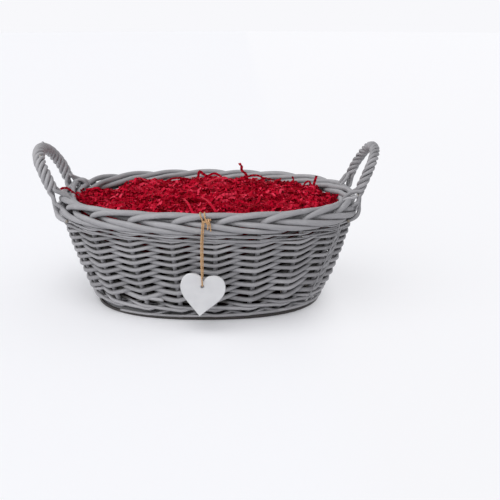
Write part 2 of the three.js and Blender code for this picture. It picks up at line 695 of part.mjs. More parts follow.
function heartOutline() {
  const left = HEART_HALF.slice(0, -1).reverse().map(([across, up]) => [-across, up]);
  const points = [...HEART_HALF, ...left].map(([across, up]) => (
    [(across * HEART_WIDTH) / 2, up * HEART_HEIGHT]
  ));
  const shape = new THREE.Shape();
  shape.moveTo(...points[0]);
  for (let i = 1; i < points.length; i += 3) {
    shape.bezierCurveTo(...points[i], ...points[i + 1], ...points[i + 2]);
  }
  return shape;
}

function areaCentre(points) {
  let area = 0;
  const centre = new THREE.Vector2();
  points.forEach((a, i) => {
    const b = points[(i + 1) % points.length];
    const cross = a.x * b.y - b.x * a.y;
    area += cross;
    centre.x += (a.x + b.x) * cross;
    centre.y += (a.y + b.y) * cross;
  });
  return centre.divideScalar(3 * area);
}

// The hole is drilled a little off the middle line, so the heart comes to rest at a tilt
function heart() {
  const curveSegments = 6;
  const shape = heartOutline();
  const centre = areaCentre(shape.getPoints(curveSegments));
  const hole = new THREE.Vector2(0, -HEART_HOLE_DEPTH);
  hole.x = -(hole.y - centre.y) * Math.tan(HEART_TILT_ANGLE);
  const blank = new THREE.ExtrudeGeometry(shape, {
    depth: HEART_THICKNESS, bevelEnabled: false, curveSegments,
  });
  const drillLength = 3 * HEART_THICKNESS;
  const drill = new THREE.CylinderGeometry(HEART_HOLE_RADIUS, HEART_HOLE_RADIUS, drillLength, 16);
  drill.rotateX(Math.PI / 2);
  drill.translate(hole.x, hole.y, 0);
  const geometry = cut(blank, drill);
  geometry.translate(-hole.x, -hole.y, -HEART_THICKNESS / 2);
  geometry.rotateZ(-HEART_TILT_ANGLE);
  geometry.rotateX(Math.PI / 2);
  return geometry;
}

const heartMesh = new THREE.Mesh(heart(), new THREE.MeshStandardMaterial(PAINTED_WOOD));
heartMesh.name = 'wooden_heart';
heartMesh.position.set(TWINE_X, HEART_Y, HOLE_Z);
basket.add(heartMesh);

// Hanging twine: down from the knot, through the hole and back up behind the heart.
// The front strand leans out to pass before the heart, and the rear one drops behind it.
function hangingTwine() {
  const before = HEART_Y - HEART_THICKNESS / 2 - TWINE_GAP;
  const behind = HEART_Y + HEART_THICKNESS / 2 + TWINE_GAP;
  const atBorder = -RIM_HALF_WIDTH - BORDER_OUTWARD - TWINE_GAP;
  const aside = (TWINE_RADIUS + TWINE_GAP) / 2 + ROD_GAP / 3;
  const inHole = HOLE_Z + HEART_HOLE_RADIUS - TWINE_GAP;
  const spread = TWINE_TOP - BORDER_TOP;
  const gather = HOLE_Z + HEART_HOLE_DEPTH + 2 * KNOT_RADIUS;
  const bend = 1.5 * TWINE_RADIUS;
  const points = [
    [-aside, atBorder + TWINE_RADIUS, TWINE_TOP],
    [-aside, atBorder - TWINE_RADIUS / 2, TWINE_TOP - 2 * KNOT_RADIUS],
    [-aside, atBorder - 2 * TWINE_RADIUS, spread],
    [-aside / 3, before, gather],
    [0, before, inHole + bend],
    [0, before + TWINE_RADIUS, inHole],
    [0, behind - TWINE_RADIUS, inHole],
    [0, behind, inHole + bend],
    [aside / 3, behind, gather],
    [aside, atBorder, spread],
    [aside, atBorder, TWINE_TOP - 2 * KNOT_RADIUS],
    [aside, atBorder + TWINE_RADIUS, TWINE_TOP],
  ];
  const path = points.map(([x, y, z]) => new THREE.Vector3(TWINE_X + x, y, z));
  return rod(path, TWINE_RADIUS, 8);
}

addPart('hanging_twine', hangingTwine(), JUTE);

export default basket;
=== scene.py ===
"""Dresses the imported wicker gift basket: painted willow, shredded paper, jute twine, wooden heart."""

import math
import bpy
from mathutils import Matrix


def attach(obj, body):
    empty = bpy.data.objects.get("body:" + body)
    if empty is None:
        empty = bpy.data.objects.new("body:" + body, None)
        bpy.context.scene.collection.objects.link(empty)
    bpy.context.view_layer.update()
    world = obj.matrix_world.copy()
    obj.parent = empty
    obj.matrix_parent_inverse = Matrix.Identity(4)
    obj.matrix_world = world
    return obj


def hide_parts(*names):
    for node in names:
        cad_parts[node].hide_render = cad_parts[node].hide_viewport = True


bl_info = {
    "name": "Wicker Gift Basket",
    "version": (1, 0, 0),
    "blender": (4, 5, 0),
    "location": "View3D > Sidebar > Basket",
    "description": "Weaves a painted willow basket round its packed model, fills it and hangs its heart",
    "category": "Add Mesh",
}

from functools import partial

import bpy
import numpy as np
from bpy.props import FloatProperty, FloatVectorProperty, IntProperty, PointerProperty
from mathutils import Matrix, Vector

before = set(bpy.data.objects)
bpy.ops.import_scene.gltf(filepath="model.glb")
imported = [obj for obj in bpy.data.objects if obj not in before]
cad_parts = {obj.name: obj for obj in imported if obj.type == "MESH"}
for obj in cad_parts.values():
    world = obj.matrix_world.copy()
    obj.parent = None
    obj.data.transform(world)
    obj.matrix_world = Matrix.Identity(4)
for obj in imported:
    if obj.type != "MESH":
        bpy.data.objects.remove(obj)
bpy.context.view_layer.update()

# Model sizes are millimetres, as on a basket maker's drawing; Blender's are metres
MM = 0.001

# Oval of the stakes at the base and at the top of the weave
BASE_HALF = np.array([133.0, 98.0])
RIM_HALF = np.array([174.0, 131.0])
WALL_HEIGHT = 108.0
WALL_BELLY = 2.5
OVAL_POWER = 2.33

# Turns of the oval where the basket isn't even, counted from the front middle towards +X: the
# border is highest at the left-hand end, and the foot is half covered at the front left
LEFT_END = 0.8
LEFT_FRONT = 0.83

STAKE_COUNT = 20
STAKE_PHASE = 0.25
STAKE_RADIUS = 2.8
ROD_GAP = 0.3

LAYER_COUNT = 17
LAYER_THINNING = 0.15
WEAVE_BOTTOM = 28.1
WEAVE_TOP = 97.6
# A side rod starts this many layers under the first, and ends this many over the last
LAYERS_UNDER = 1.05
LAYERS_OVER = 0.75

# Wales of three rods: height, climb in a round, rod radius, and the stakes that each rod passes
# from its start to its end. The upsett lies on the base's edge and goes no lower than that,
# apart from its drop at the front left.
UPSETT_HEIGHT = 3.9
UPSETT_CLIMB = 11.8
UPSETT_RADIUS = 2.05
UPSETT_SPANS = [(-3, 26.6), (-2, 31.6), (-1, 38.6)]
UPSETT_LOWEST = 6.6
UPSETT_DROP = 2.2
TOP_HEIGHTS = (101.9, 107.4)
TOP_CLIMB = 1.0
TOP_RADIUS = 1.35
TOP_SPANS = [(0, 20.6), (1, 21.6), (2, 22.6)]
TOP_END_RISE = 2.6

# A thin twig that hangs outside the right-hand end: turn, height and distance off the wall
TWIG_PLACES = [
    (0.1632, 113, 9.5), (0.162, 104, 9.6), (0.159, 78, 9.5), (0.156, 45, 9.4), (0.153, 18, 9.6),
]
TWIG_RADIUS = 0.8

# A rod pushed out over a stake also slides down it, this far for each millimetre outward
ROD_DIP = 0.7

BASE_PLANE = 7.4
BASE_STICK_RADIUS = 2.4
LONG_STICK_RADIUS = 1.9
CROSS_REACH = 3
SLATH_SPACING = 14.0
SLATH_LONG_SPACING = 7.0
FOOT_BEND = 8.0
STAKE_FOOT = 16.0
BASE_ROD_RADIUS = 1.7
BASE_ROUNDS = 21
BASE_LOWEST = 2.0
STICK_CLEARANCE = 4.1

# Near the edge a stake's foot lies beside the end of each base stick
PAIR_CLEARANCE = 4.9
PAIR_REACH = 20.0
PAIR_SPACING = 1.22 * (STAKE_RADIUS + BASE_STICK_RADIUS + ROD_GAP)

# The hoop under the edge, and how much thinner it is at the front left
HOOP_RADIUS = 2.4
HOOP_THINNING = 0.6
HOOP_OUTWARD = 3.7

# The border and the knot are drawn in half rods, and a bay is the way from a stake to the next
BORDER_UNIT = 3.25
BORDER_BAY = 49.0
# At the left-hand end the border's outer rods end higher and further in
BORDER_END_RISE = 3.2
BORDER_END_INSET = 1.8
# Border stroke of one stake: bays along the rim, then outward and up in border units
BORDER_STROKE = np.array([
    [0, 0.05, 1.2], [0.01, 0.1, 3.0], [0.08, 0.65, 4.8], [0.22, 1.15, 5.9], [0.45, 1.3, 6.85],
    [0.75, 1.05, 7.4], [1, 0.5, 7.45], [1.25, -0.35, 7.2], [1.5, -1.15, 6.75], [1.75, -1.85, 6.5],
    [2, -2.45, 6.35], [2.25, -2.95, 5.85], [2.5, -3.1, 5.3], [2.75, -2.9, 4.75], [3, -2.35, 4.4],
    [3.25, -1, 4.5], [3.42, 0.2, 4.45], [3.62, 1.3, 4.2], [3.95, 2.15, 3.8], [4.3, 2.5, 2.95],
    [4.65, 2.45, 2.15], [5, 2.2, 1.6], [5.3, 1.6, 1.2], [5.6, 0.7, 0.95],
])
BORDER_THINNING = ([0, 0.1, 4.2, 4.7, 5.3, 5.6], [0.9, 1, 1, 0.9, 0.6, 0.4])

HANDLE_HALF_SPAN = 43.5
HANDLE_OUTWARD = 13.0
HANDLE_RISE = 47.0
HANDLE_LEAN = 23.4
BOW_FOOT = WALL_HEIGHT + 8.61 * BORDER_UNIT + 2.2

FILL_HALF = np.array([155.3, 113.9])
FILL_BOTTOM = 14.6
FILL_SHOULDER = 114.0
FILL_CROWN = 138.0
TUFT_SPACING = 21.0
TUFT_HEIGHT = 5.0

# Places where the paper is heaped higher or lower than the mound: x, y, spread and lift
HUMPS = (
    (-150, 8, 17, 12), (-121, 60, 14, -11), (-94, 70, 17, 7), (-40, 92, 15, -7), (-18, 80, 30, 2),
    (42, 84, 18, 2), (98, 66, 18, 4), (134, 46, 12, 8), (147, 30, 7, -5), (151, 6, 10, 5),
)
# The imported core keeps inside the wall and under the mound, and its wall ends at this height
CORE_SIDES = 150
CORE_INSET = 10.5
CORE_DEPTH = 9.0
CORE_WALL_TOP = 82.0

TWINE_X = -2.5
KNOT_PLACE = (3.05, 6.15)
HEART_PLACE = Vector((-2.5, -147.66, 55.98))
HEART_SIZE = (50.0, 48.7, 4.0)
HEART_TILT = math.radians(7)
HEART_HALF = [
    (0, -0.16), (0.08, -0.02), (0.34, 0), (0.52, 0), (0.84, 0), (1, -0.14), (1, -0.3),
    (1, -0.56), (0.42, -0.74), (0, -1),
]
HOLE_DEPTH = 13.5
HOLE_RADIUS = 1.95

FLOOR_RADIUS = 9000.0
FLOOR_DROP = 0.2


def linear(hex_colour):
    """sRGB hex to the linear red, green and blue that Blender's sockets take."""
    shares = [int(hex_colour[i:i + 2], 16) / 255 for i in (1, 3, 5)]
    return tuple(s / 12.92 if s <= 0.04045 else ((s + 0.055) / 1.055) ** 2.4 for s in shares)


def unit(vectors):
    """Vectors brought to length 1."""
    return vectors / np.maximum(np.linalg.norm(vectors, axis=-1, keepdims=True), 1e-6)


def distances(line):
    """How far along a line each of its points lies."""
    return np.concatenate([[0], np.cumsum(np.linalg.norm(np.diff(line, axis=0), axis=1))])


# The wall of the basket

OVAL_ANGLES = -math.pi / 2 + 2 * math.pi * np.linspace(0, 1, 1441)


def oval(angle, half):
    """Points of the level oval whose half length and half width are given."""
    direction = np.stack([np.cos(angle), np.sin(angle)], -1)
    return half * np.sign(direction) * np.abs(direction) ** (2 / OVAL_POWER)


RIM_LENGTHS = distances(oval(OVAL_ANGLES, RIM_HALF))
RIM_PERIMETER = RIM_LENGTHS[-1]


def wall(turn, height, outward=0.0):
    """Places on the wall: turns from the front middle towards +X, height, and distance outward."""
    turn, height, outward = np.broadcast_arrays(turn, height, outward)
    angle = np.interp((turn % 1.0) * RIM_PERIMETER, RIM_LENGTHS, OVAL_ANGLES)
    share = np.clip(height / WALL_HEIGHT, 0, 1)
    opened = share + WALL_BELLY / (RIM_HALF[0] - BASE_HALF[0]) * np.sin(math.pi * share)
    half = BASE_HALF + (RIM_HALF - BASE_HALF) * opened[..., None]
    flat = oval(angle, half)
    normal = unit(np.sign(flat) * np.abs(flat / half) ** (OVAL_POWER - 1) / half)
    return np.concatenate([flat + outward[..., None] * normal, height[..., None]], -1)


def stake_turn(stake):
    """The turn at which a stake stands."""
    return (np.asarray(stake) + STAKE_PHASE) / STAKE_COUNT


def rim_lift(turn):
    """How far the border is raised: it isn't quite level."""
    return 1.5 * math.cos(2 * math.pi * (turn - LEFT_END)) - 0.6


def near(turn, middle):
    """1 at one turn of the oval, falling to 0 a quarter of the way round on either side."""
    return np.clip(np.cos(2 * math.pi * (turn - middle)), 0, 1)


def end_lift(turn):
    """Share of the lift that the border's lower rods have at the left-hand end."""
    return near(turn, LEFT_END) ** 1.5


def layer_height(layer):
    """Height of a layer of the side weave; the layers close up as the rods thin."""
    share = np.asarray(layer) / (LAYER_COUNT - 1)
    eased = share * (1 + LAYER_THINNING) - LAYER_THINNING * share * share
    return WEAVE_BOTTOM + (WEAVE_TOP - WEAVE_BOTTOM) * eased


def beside(turn, height, outward, reach=0.0):
    """A rod's place off the wall; at full reach in front of a stake it is as low as its layer."""
    return wall(turn, height + ROD_DIP * (0.8 * reach - outward), outward)


# Rods

def follow(points, step):
    """A smooth line through rows whose first three values are a place, in even steps."""
    points = np.asarray(points, float)
    ends = 2 * points[[0, -1]] - points[[1, -2]]
    points = np.vstack([ends[:1], points, ends[1:]])
    line = []
    for a, b, c, d in zip(points, points[1:], points[2:], points[3:]):
        gaps = [max(np.linalg.norm((q - p)[:3]), 1e-3) ** 0.5 for p, q in ((a, b), (b, c), (c, d))]
        t1, t2, t3 = np.cumsum(gaps)
        t = np.linspace(t1, t2, 10, endpoint=False)[:, None]
        ab = a + (b - a) * t / t1
        bc = b + (c - b) * (t - t1) / (t2 - t1)
        cd = c + (d - c) * (t - t2) / (t3 - t2)
        left = ab + (bc - ab) * t / t2
        right = bc + (cd - bc) * (t - t1) / (t3 - t1)
        line.append(left + (right - left) * (t - t1) / (t2 - t1))
    line = np.vstack([*line, points[-2:-1]])
    along = distances(line[:, :3])
    stops = np.linspace(0, along[-1], max(int(along[-1] / step), 2) + 1)
    return np.stack([np.interp(stops, along, column) for column in line.T], -1)


def carried_frames(line, closed=False):
    """Two directions across a line, carried along it without a twist."""
    if closed:
        tangents = unit(np.roll(line, -1, 0) - np.roll(line, 1, 0))
    else:
        tangents = unit(np.gradient(line, axis=0))
    across = np.array([0.0, 0.0, 1.0]) if abs(tangents[0, 2]) < 0.9 else np.array([1.0, 0.0, 0.0])
    rows = []
    for tangent in tangents:
        across = unit(across - tangent * (across @ tangent))
        rows.append(across)
    across = np.array(rows)
    return across, np.cross(tangents, across)


def coiled(line, across, side, radius, angle):
    """A line wound round another, at this distance from it and at these angles."""
    return line + radius * (across * np.cos(angle)[:, None] + side * np.sin(angle)[:, None])


def tube_faces(rings, sides, first=0, closed=False):
    """Faces of a tube of rings of points, numbered from the first; the two ends come last."""
    ring = np.arange(rings if closed else rings - 1)[:, None]
    following = (ring + 1) % rings
    j = np.arange(sides)[None]
    k = (j + 1) % sides
    quads = np.stack([ring * sides + j, ring * sides + k, following * sides + k,
                      following * sides + j], -1).reshape(-1, 4) + first
    faces = quads.tolist()
    if not closed:
        last = first + (rings - 1) * sides
        faces.append(list(range(first + sides - 1, first - 1, -1)))
        faces.append(list(range(last, last + sides)))
    return faces


class Bundle:
    """Rods gathered into one mesh, each with a tone of its own and its grain measured along it."""

    def __init__(self, seed):
        self.rng = np.random.default_rng(seed)
        self.points, self.faces, self.places, self.tones, self.cut_faces = [], [], [], [], []
        self.count = 0

    def add(self, line, radius, sides=10, closed=False, knobbly=0.05, oval_share=0.05, tone=None):
        """A rod along a line of millimetres, with a little of the unevenness that willow has."""
        line = np.asarray(line, float)
        rings = len(line)
        across, side = carried_frames(line, closed)
        along = distances(line)
        slow, quick, turned, _ = self.rng.uniform(0, 2 * math.pi, 4)
        swell = np.sin(along / 9 + slow) + 0.7 * np.sin(along / 3.7 + quick)
        radius = np.broadcast_to(radius, rings) * (1 + knobbly * 0.5 * swell)
        angle = 2 * math.pi * np.arange(sides) / sides
        shape = 1 + oval_share * np.cos(2 * (angle[None] - turned) + along[:, None] / 30)
        reach = radius[:, None] * shape
        if not closed:
            reach[[0, -1]] *= 0.86
        c, s = reach * np.cos(angle), reach * np.sin(angle)
        points = line[:, None] + c[..., None] * across[:, None] + s[..., None] * side[:, None]
        start = along[:, None] + self.rng.uniform(0, 900)
        self.points.append(points.reshape(-1, 3))
        self.places.append(np.stack([np.broadcast_to(start, c.shape), c, s], -1).reshape(-1, 3))
        chosen = self.rng.uniform(0, 1) if tone is None else tone
        self.tones.append(np.repeat(np.broadcast_to(chosen, rings), sides))
        faces = tube_faces(rings, sides, self.count, closed)
        cuts = 0 if closed else 2
        self.faces.extend(faces)
        self.cut_faces.extend([0] * (len(faces) - cuts) + [1] * cuts)
        self.count += rings * sides

    def piece(self, name, materials, body, slot, *nodes):
        """The object that the rods make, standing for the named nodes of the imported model."""
        mesh = new_mesh(np.vstack(self.points), self.faces)
        made = new_piece(name, mesh, materials, body, nodes)
        add_attribute(made, "rod_place", "FLOAT_VECTOR", np.vstack(self.places))
        add_attribute(made, "rod_tone", "FLOAT", np.concatenate(self.tones))
        made.data.polygons.foreach_set("material_index", self.cut_faces)
        return made

    def willow(self, name, *nodes):
        """The rods as painted willow of the basket, bare where they are cut."""
        return self.piece(name, willow_pair(), "basket", "painted_willow", *nodes)


def linked(name, data):
    """An object in the scene, named as its data."""
    data.name = name
    made = bpy.data.objects.new(name, data)
    bpy.context.scene.collection.objects.link(made)
    return made


def new_mesh(points, faces):
    """A mesh from points in millimetres."""
    mesh = bpy.data.meshes.new("piece")
    mesh.from_pydata((np.asarray(points) * MM).tolist(), [], faces)
    return mesh


def new_piece(name, mesh, materials, body, nodes=(), smooth=True):
    """The object of a mesh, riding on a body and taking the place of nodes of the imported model."""
    mesh.polygons.foreach_set("use_smooth", [smooth] * len(mesh.polygons))
    mesh.materials.clear()
    for material in materials:
        mesh.materials.append(material)
    mesh.update()
    made = linked(name, mesh)
    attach(made, body)
    if nodes:
        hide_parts(*nodes)
    return made


def add_attribute(made, name, kind, values):
    """Stores a value for each point of an object, for its material to read."""
    attribute = made.data.attributes.new(name, kind, "POINT")
    key = "vector" if kind == "FLOAT_VECTOR" else "value"
    attribute.data.foreach_set(key, np.asarray(values, np.float32).ravel())


def numbered(name, index):
    """A name with the number of its stake or rod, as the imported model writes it."""
    return f"{name}_{index + 1:02d}"


# Materials

COLOURS = {"data_type": "RGBA"}
SMOOTH = {"interpolation_type": "SMOOTHSTEP"}


def add_node(tree, kind, settings=None, **inputs):
    """Adds a node and sets its properties; its inputs, named by identifier, are set or linked."""
    node = tree.nodes.new(kind)
    for name, value in (settings or {}).items():
        setattr(node, name, value)
    for key, value in inputs.items():
        socket = next(s for s in node.inputs if s.identifier.replace(" ", "_") == key)
        if isinstance(value, bpy.types.Node):
            value = next(s for s in value.outputs if s.enabled)
        if isinstance(value, bpy.types.NodeSocket):
            tree.links.new(value, socket)
        elif socket.type == "RGBA":
            socket.default_value = (*value, 1)
        else:
            socket.default_value = value
    return node


def new_material(name):
    """An empty node material, and the function that adds a node to it."""
    material = bpy.data.materials.new(name)
    material.use_nodes = True
    material.node_tree.nodes.clear()
    return material, partial(add_node, material.node_tree)


def finish_material(add, **sockets):
    """Ends a material in its shader, with these values and links."""
    add("ShaderNodeOutputMaterial", Surface=add("ShaderNodeBsdfPrincipled", **sockets))


def noise_at(add, place, size, detail=2.0, roughness=0.55):
    """Noise whose patches are about size millimetres along, across and across a rod."""
    scaled = add("ShaderNodeVectorMath", {"operation": "DIVIDE"}, Vector=place, Vector_001=size)
    return add("ShaderNodeTexNoise", Vector=scaled, Scale=1.0, Detail=detail, Roughness=roughness)


def laid_over(add, under, over, pattern, low, high, most=1.0):
    """A colour over another: none where the pattern is low, and most where it is high."""
    share = add("ShaderNodeMapRange", SMOOTH, Value=pattern, From_Min=low, From_Max=high, To_Max=most)
    return add("ShaderNodeMix", COLOURS, Factor_Float=share, A_Color=under, B_Color=over)


def painted_willow(settings):
    """Willow brushed with thin matt grey paint: the grain shows, and the rods behind the stakes are
    darkened with painted shade.
    """
    material, add = new_material("willow, brushed grey paint")
    place = add("ShaderNodeAttribute", {"attribute_name": "rod_place"}).outputs["Vector"]
    tone = add("ShaderNodeAttribute", {"attribute_name": "rod_tone"}).outputs["Fac"]
    # Grain of 0.9 mm is coarser than willow's, so that it shows
    streak = noise_at(add, place, (26, 0.9, 0.9), 3)
    patch = noise_at(add, place, (14, 5, 5), 2)
    rubbed = noise_at(add, place, (7, 1.6, 1.6), 4, 0.7)
    film = noise_at(add, place, (2.2, 1.4, 1.4), 3)
    colour = add("ShaderNodeMix", COLOURS, Factor_Float=tone, A_Color=settings.paint_dark,
                 B_Color=settings.paint)
    colour = laid_over(add, colour, settings.paint_dark, streak, 0.5, 0.72, 0.35)
    colour = laid_over(add, colour, settings.paint_pale, patch, 0.45, 0.75, 0.4)
    colour = laid_over(add, colour, settings.bare_wood, rubbed, 0.72, 0.78, 0.55)
    # Painted shade: where a rod's tone falls below 0, behind the stakes, its colour turns to the dark
    # shade colour
    colour = laid_over(add, settings.shade_behind_stakes, colour, tone, -1, 0)
    dulled = add("ShaderNodeMapRange", SMOOTH, Value=patch, From_Min=0.3, From_Max=0.8,
                 To_Min=0.46, To_Max=0.66)
    grain = add("ShaderNodeBump", Strength=0.5, Distance=0.3 * MM, Height=streak)
    skin = add("ShaderNodeBump", Strength=0.3, Distance=0.2 * MM, Height=film, Normal=grain)
    finish_material(add, Base_Color=colour, Roughness=dulled, Normal=skin)
    return material


def foot_shade_willow(settings):
    """The hoop the basket stands on: near-black brown, painted shade for the dark under the basket's
    edge, streaked a little paler, and a little smoother.
    """
    material, add = new_material("willow, darkened as painted shade")
    place = add("ShaderNodeAttribute", {"attribute_name": "rod_place"}).outputs["Vector"]
    streak = noise_at(add, place, (20, 1.2, 1.2), 3)
    colour = add("ShaderNodeMix", COLOURS, Factor_Float=streak, A_Color=settings.bark,
                 B_Color=settings.bark_pale)
    bump = add("ShaderNodeBump", Strength=0.3, Distance=0.3 * MM, Height=streak)
    finish_material(add, Base_Color=colour, Roughness=0.5, Normal=bump)
    return material


def cut_willow(settings):
    """The slanted cut at a rod's end: bare pale wood flecked with grey paint."""
    material, add = new_material("willow, bare cut end")
    place = add("ShaderNodeAttribute", {"attribute_name": "rod_place"}).outputs["Vector"]
    colour = add("ShaderNodeMix", COLOURS, Factor_Float=noise_at(add, place, (1, 0.7, 0.7)),
                 A_Color=settings.bare_wood, B_Color=settings.paint)
    finish_material(add, Base_Color=colour, Roughness=0.8)
    return material


def crinkle_paper(settings):
    """Dyed kraft paper, cut and crimped: the folds catch the light and each strip has its tone; the
    lowest tones are painted shade and the highest a painted highlight.
    """
    material, add = new_material("kraft paper, dyed and crimped")
    tone = add("ShaderNodeAttribute", {"attribute_name": "strip_tone"}).outputs["Fac"]
    place = add("ShaderNodeTexCoord").outputs["Object"]
    # Flecks, 0.7 to the millimetre, stand for fibres that are too fine to show
    fibre = add("ShaderNodeTexNoise", Vector=place, Scale=0.7 / MM, Detail=3.0)
    colour = add("ShaderNodeMix", COLOURS, Factor_Float=tone, A_Color=settings.deep_red,
                 B_Color=settings.bright_red)
    # Painted highlight: the strips with the highest tones turn pale pinkish red
    colour = laid_over(add, colour, settings.highlight_red, tone, 0.72, 1.1)
    colour = laid_over(add, colour, settings.deep_red, fibre, 0.4, 0.75, 0.3)
    # Painted shade: tones below 0, on the core low down and on strips low between clumps, turn to the
    # near-black shade red
    colour = laid_over(add, settings.shade_red, colour, tone, -1, 0)
    bump = add("ShaderNodeBump", Strength=0.2, Distance=0.1 * MM, Height=fibre)
    finish_material(add, Base_Color=colour, Roughness=0.5, Specular_IOR_Level=0.05, Normal=bump)
    return material


def painted_board(settings):
    """Sawn board in white emulsion: faint brush marks, and clouds where the coat is thinner and a little
    greyer.
    """
    material, add = new_material("birch board, white emulsion")
    place = add("ShaderNodeTexCoord").outputs["Object"]
    # Brush marks 0.7 mm wide and 8 mm long, and clouds of 17 mm where the coat is thinner
    marks = add("ShaderNodeVectorMath", {"operation": "MULTIPLY"}, Vector=place,
                Vector_001=(1.4 / MM, 1.4 / MM, 0.12 / MM))
    brush = add("ShaderNodeTexNoise", Vector=marks, Scale=1.0, Detail=3.0)
    cloud = add("ShaderNodeTexNoise", Vector=place, Scale=0.06 / MM, Detail=2.0)
    colour = laid_over(add, settings.white_paint, settings.greyed_paint, cloud, 0.35, 0.7, 0.6)
    bump = add("ShaderNodeBump", Strength=0.18, Distance=0.15 * MM, Height=brush)
    finish_material(add, Base_Color=colour, Roughness=0.48, Normal=bump)
    return material


def spun_jute(settings):
    """Two-ply jute twine: dull pale brown fibre, each ply a little darker or paler than the other."""
    material, add = new_material("jute, two-ply twine")
    place = add("ShaderNodeAttribute", {"attribute_name": "rod_place"}).outputs["Vector"]
    tone = add("ShaderNodeAttribute", {"attribute_name": "rod_tone"}).outputs["Fac"]
    # Fibres of 0.18 mm are a few times too thick, so that they show
    fibre = noise_at(add, place, (3.0, 0.18, 0.18), 4, 0.7)
    colour = add("ShaderNodeMix", COLOURS, Factor_Float=tone, A_Color=settings.fibre_dark,
                 B_Color=settings.fibre)
    colour = laid_over(add, colour, settings.fibre_pale, fibre, 0.35, 0.65)
    bump = add("ShaderNodeBump", Strength=0.8, Distance=0.3 * MM, Height=fibre)
    finish_material(add, Base_Color=colour, Roughness=0.85, Sheen_Weight=0.2, Normal=bump)
    return material


def paint_floor(settings):
    """Seamless studio paper, matt: on the right it glows with painted light, though it is no lamp, so
    that the basket's shadow hardly shows there.
    """
    material, add = new_material("studio paper, matt white")
    place = add("ShaderNodeTexCoord").outputs["Object"]
    across = add("ShaderNodeSeparateXYZ", Vector=place).outputs["X"]
    # Painted light: the floor's own glow rises to the right, and its base colour dims by the same share
    glow = add("ShaderNodeMapRange", SMOOTH, Value=across, From_Min=90 * MM, From_Max=170 * MM,
               To_Max=settings.floor_glow)
    lit = add("ShaderNodeMix", COLOURS, Factor_Float=glow, A_Color=settings.floor, B_Color=(0, 0, 0))
    finish_material(add, Base_Color=lit, Roughness=0.9, Specular_IOR_Level=0.1,
                    Emission_Color=settings.floor, Emission_Strength=glow)
    return material


def willow_pair():
    """The two willow materials, made once."""
    settings = bpy.context.scene.basket_willow
    names = ("willow, brushed grey paint", "willow, bare cut end")
    return [bpy.data.materials.get(name) or make(settings)
            for name, make in zip(names, (painted_willow, cut_willow))]


# Settings

def colour_setting(name, description, hex_colour):
    """A colour that a user may change."""
    return FloatVectorProperty(name=name, description=description, subtype="COLOR",
                               default=linear(hex_colour))


class WillowSettings(bpy.types.PropertyGroup):
    paint: colour_setting("Paint", "Grey paint on the rods", "#a09fa2")
    paint_dark: colour_setting("Thin paint", "Paint where the wood greys it", "#7f7e81")
    paint_pale: colour_setting("Thick paint", "Paint where the brush left most", "#acabae")
    # Painted shade for the rods where they lie behind the stakes
    shade_behind_stakes: colour_setting("Shade behind stakes", "Painted shade on rods behind the stakes", "#4b4947")
    bare_wood: colour_setting("Bare wood", "Willow where the paint has rubbed off", "#a8997f")
    # Painted shade: the hoop is coloured near black for the dark under the basket's edge
    bark: colour_setting("Foot shade", "Hoop below, near black as painted shade", "#1f1b1a")
    bark_pale: colour_setting("Foot shade streaks", "Paler streaks in the hoop's painted shade", "#37312f")
    border_rod: FloatProperty(name="Border rod", description="Thickness of a rod in the border",
                              unit="LENGTH", default=6.75 * MM, min=5 * MM, max=7.5 * MM)
    weaver_fullness: FloatProperty(name="Weaver fullness", description="Rod thickness in layer heights",
                                   default=1.09, min=0.8, max=1.2)


class PaperSettings(bpy.types.PropertyGroup):
    # Tones run from deep red to bright red: partly each strip's dye, partly painted light and shade from
    # the clumps
    bright_red: colour_setting("Bright red", "Paper in the light", "#d20c35")
    # Painted highlight on the palest strips, for the pinkish glints of the paper
    highlight_red: colour_setting("Highlight red", "Painted highlight on the palest strips", "#e03a55")
    deep_red: colour_setting("Deep red", "Paper dyed darkest", "#80000e")
    # Painted shade: near black for the core low down and for the hollows between clumps
    shade_red: colour_setting("Shade red", "Painted shade on the paper", "#16060a")
    strip_width: FloatProperty(name="Strip width", description="Width that the paper is cut to",
                               unit="LENGTH", default=3.1 * MM, min=1 * MM, max=5 * MM)
    strip_count: IntProperty(name="Strips", description="Strips that lie on the mound",
                             default=3900, min=500, max=8000)


class HeartSettings(bpy.types.PropertyGroup):
    white_paint: colour_setting("White paint", "Emulsion on the board", "#cacacc")
    greyed_paint: colour_setting("Greyed paint", "Emulsion where it is thin", "#c1c1c4")
    rounding: FloatProperty(name="Edge rounding", description="Radius that the edges are sanded to",
                            unit="LENGTH", default=0.7 * MM, min=0.1 * MM, max=1.5 * MM)


class TwineSettings(bpy.types.PropertyGroup):
    fibre: colour_setting("Fibre", "Jute as spun", "#b9895a")
    fibre_pale: colour_setting("Pale fibre", "Loose fibre on the surface", "#d9b083")
    fibre_dark: colour_setting("Dark fibre", "Fibre in the lay of the plies", "#85663f")
    ply_radius: FloatProperty(name="Ply radius", description="Radius of one of the two plies",
                              unit="LENGTH", default=0.52 * MM, min=0.3 * MM, max=0.8 * MM)


class StageSettings(bpy.types.PropertyGroup):
    floor: colour_setting("Floor", "Studio paper under the basket", "#f6f6f9")
    backdrop: colour_setting("Backdrop", "What the camera sees behind", "#f8f8fb")
    floor_glow: FloatProperty(name="Floor glow", default=0.75, min=0, max=1,
                              description="Share of the floor's light that is its own")
    key: FloatProperty(name="Key light", description="Strength of the soft light from above",
                       default=2.35, min=0, max=5)


# Builders

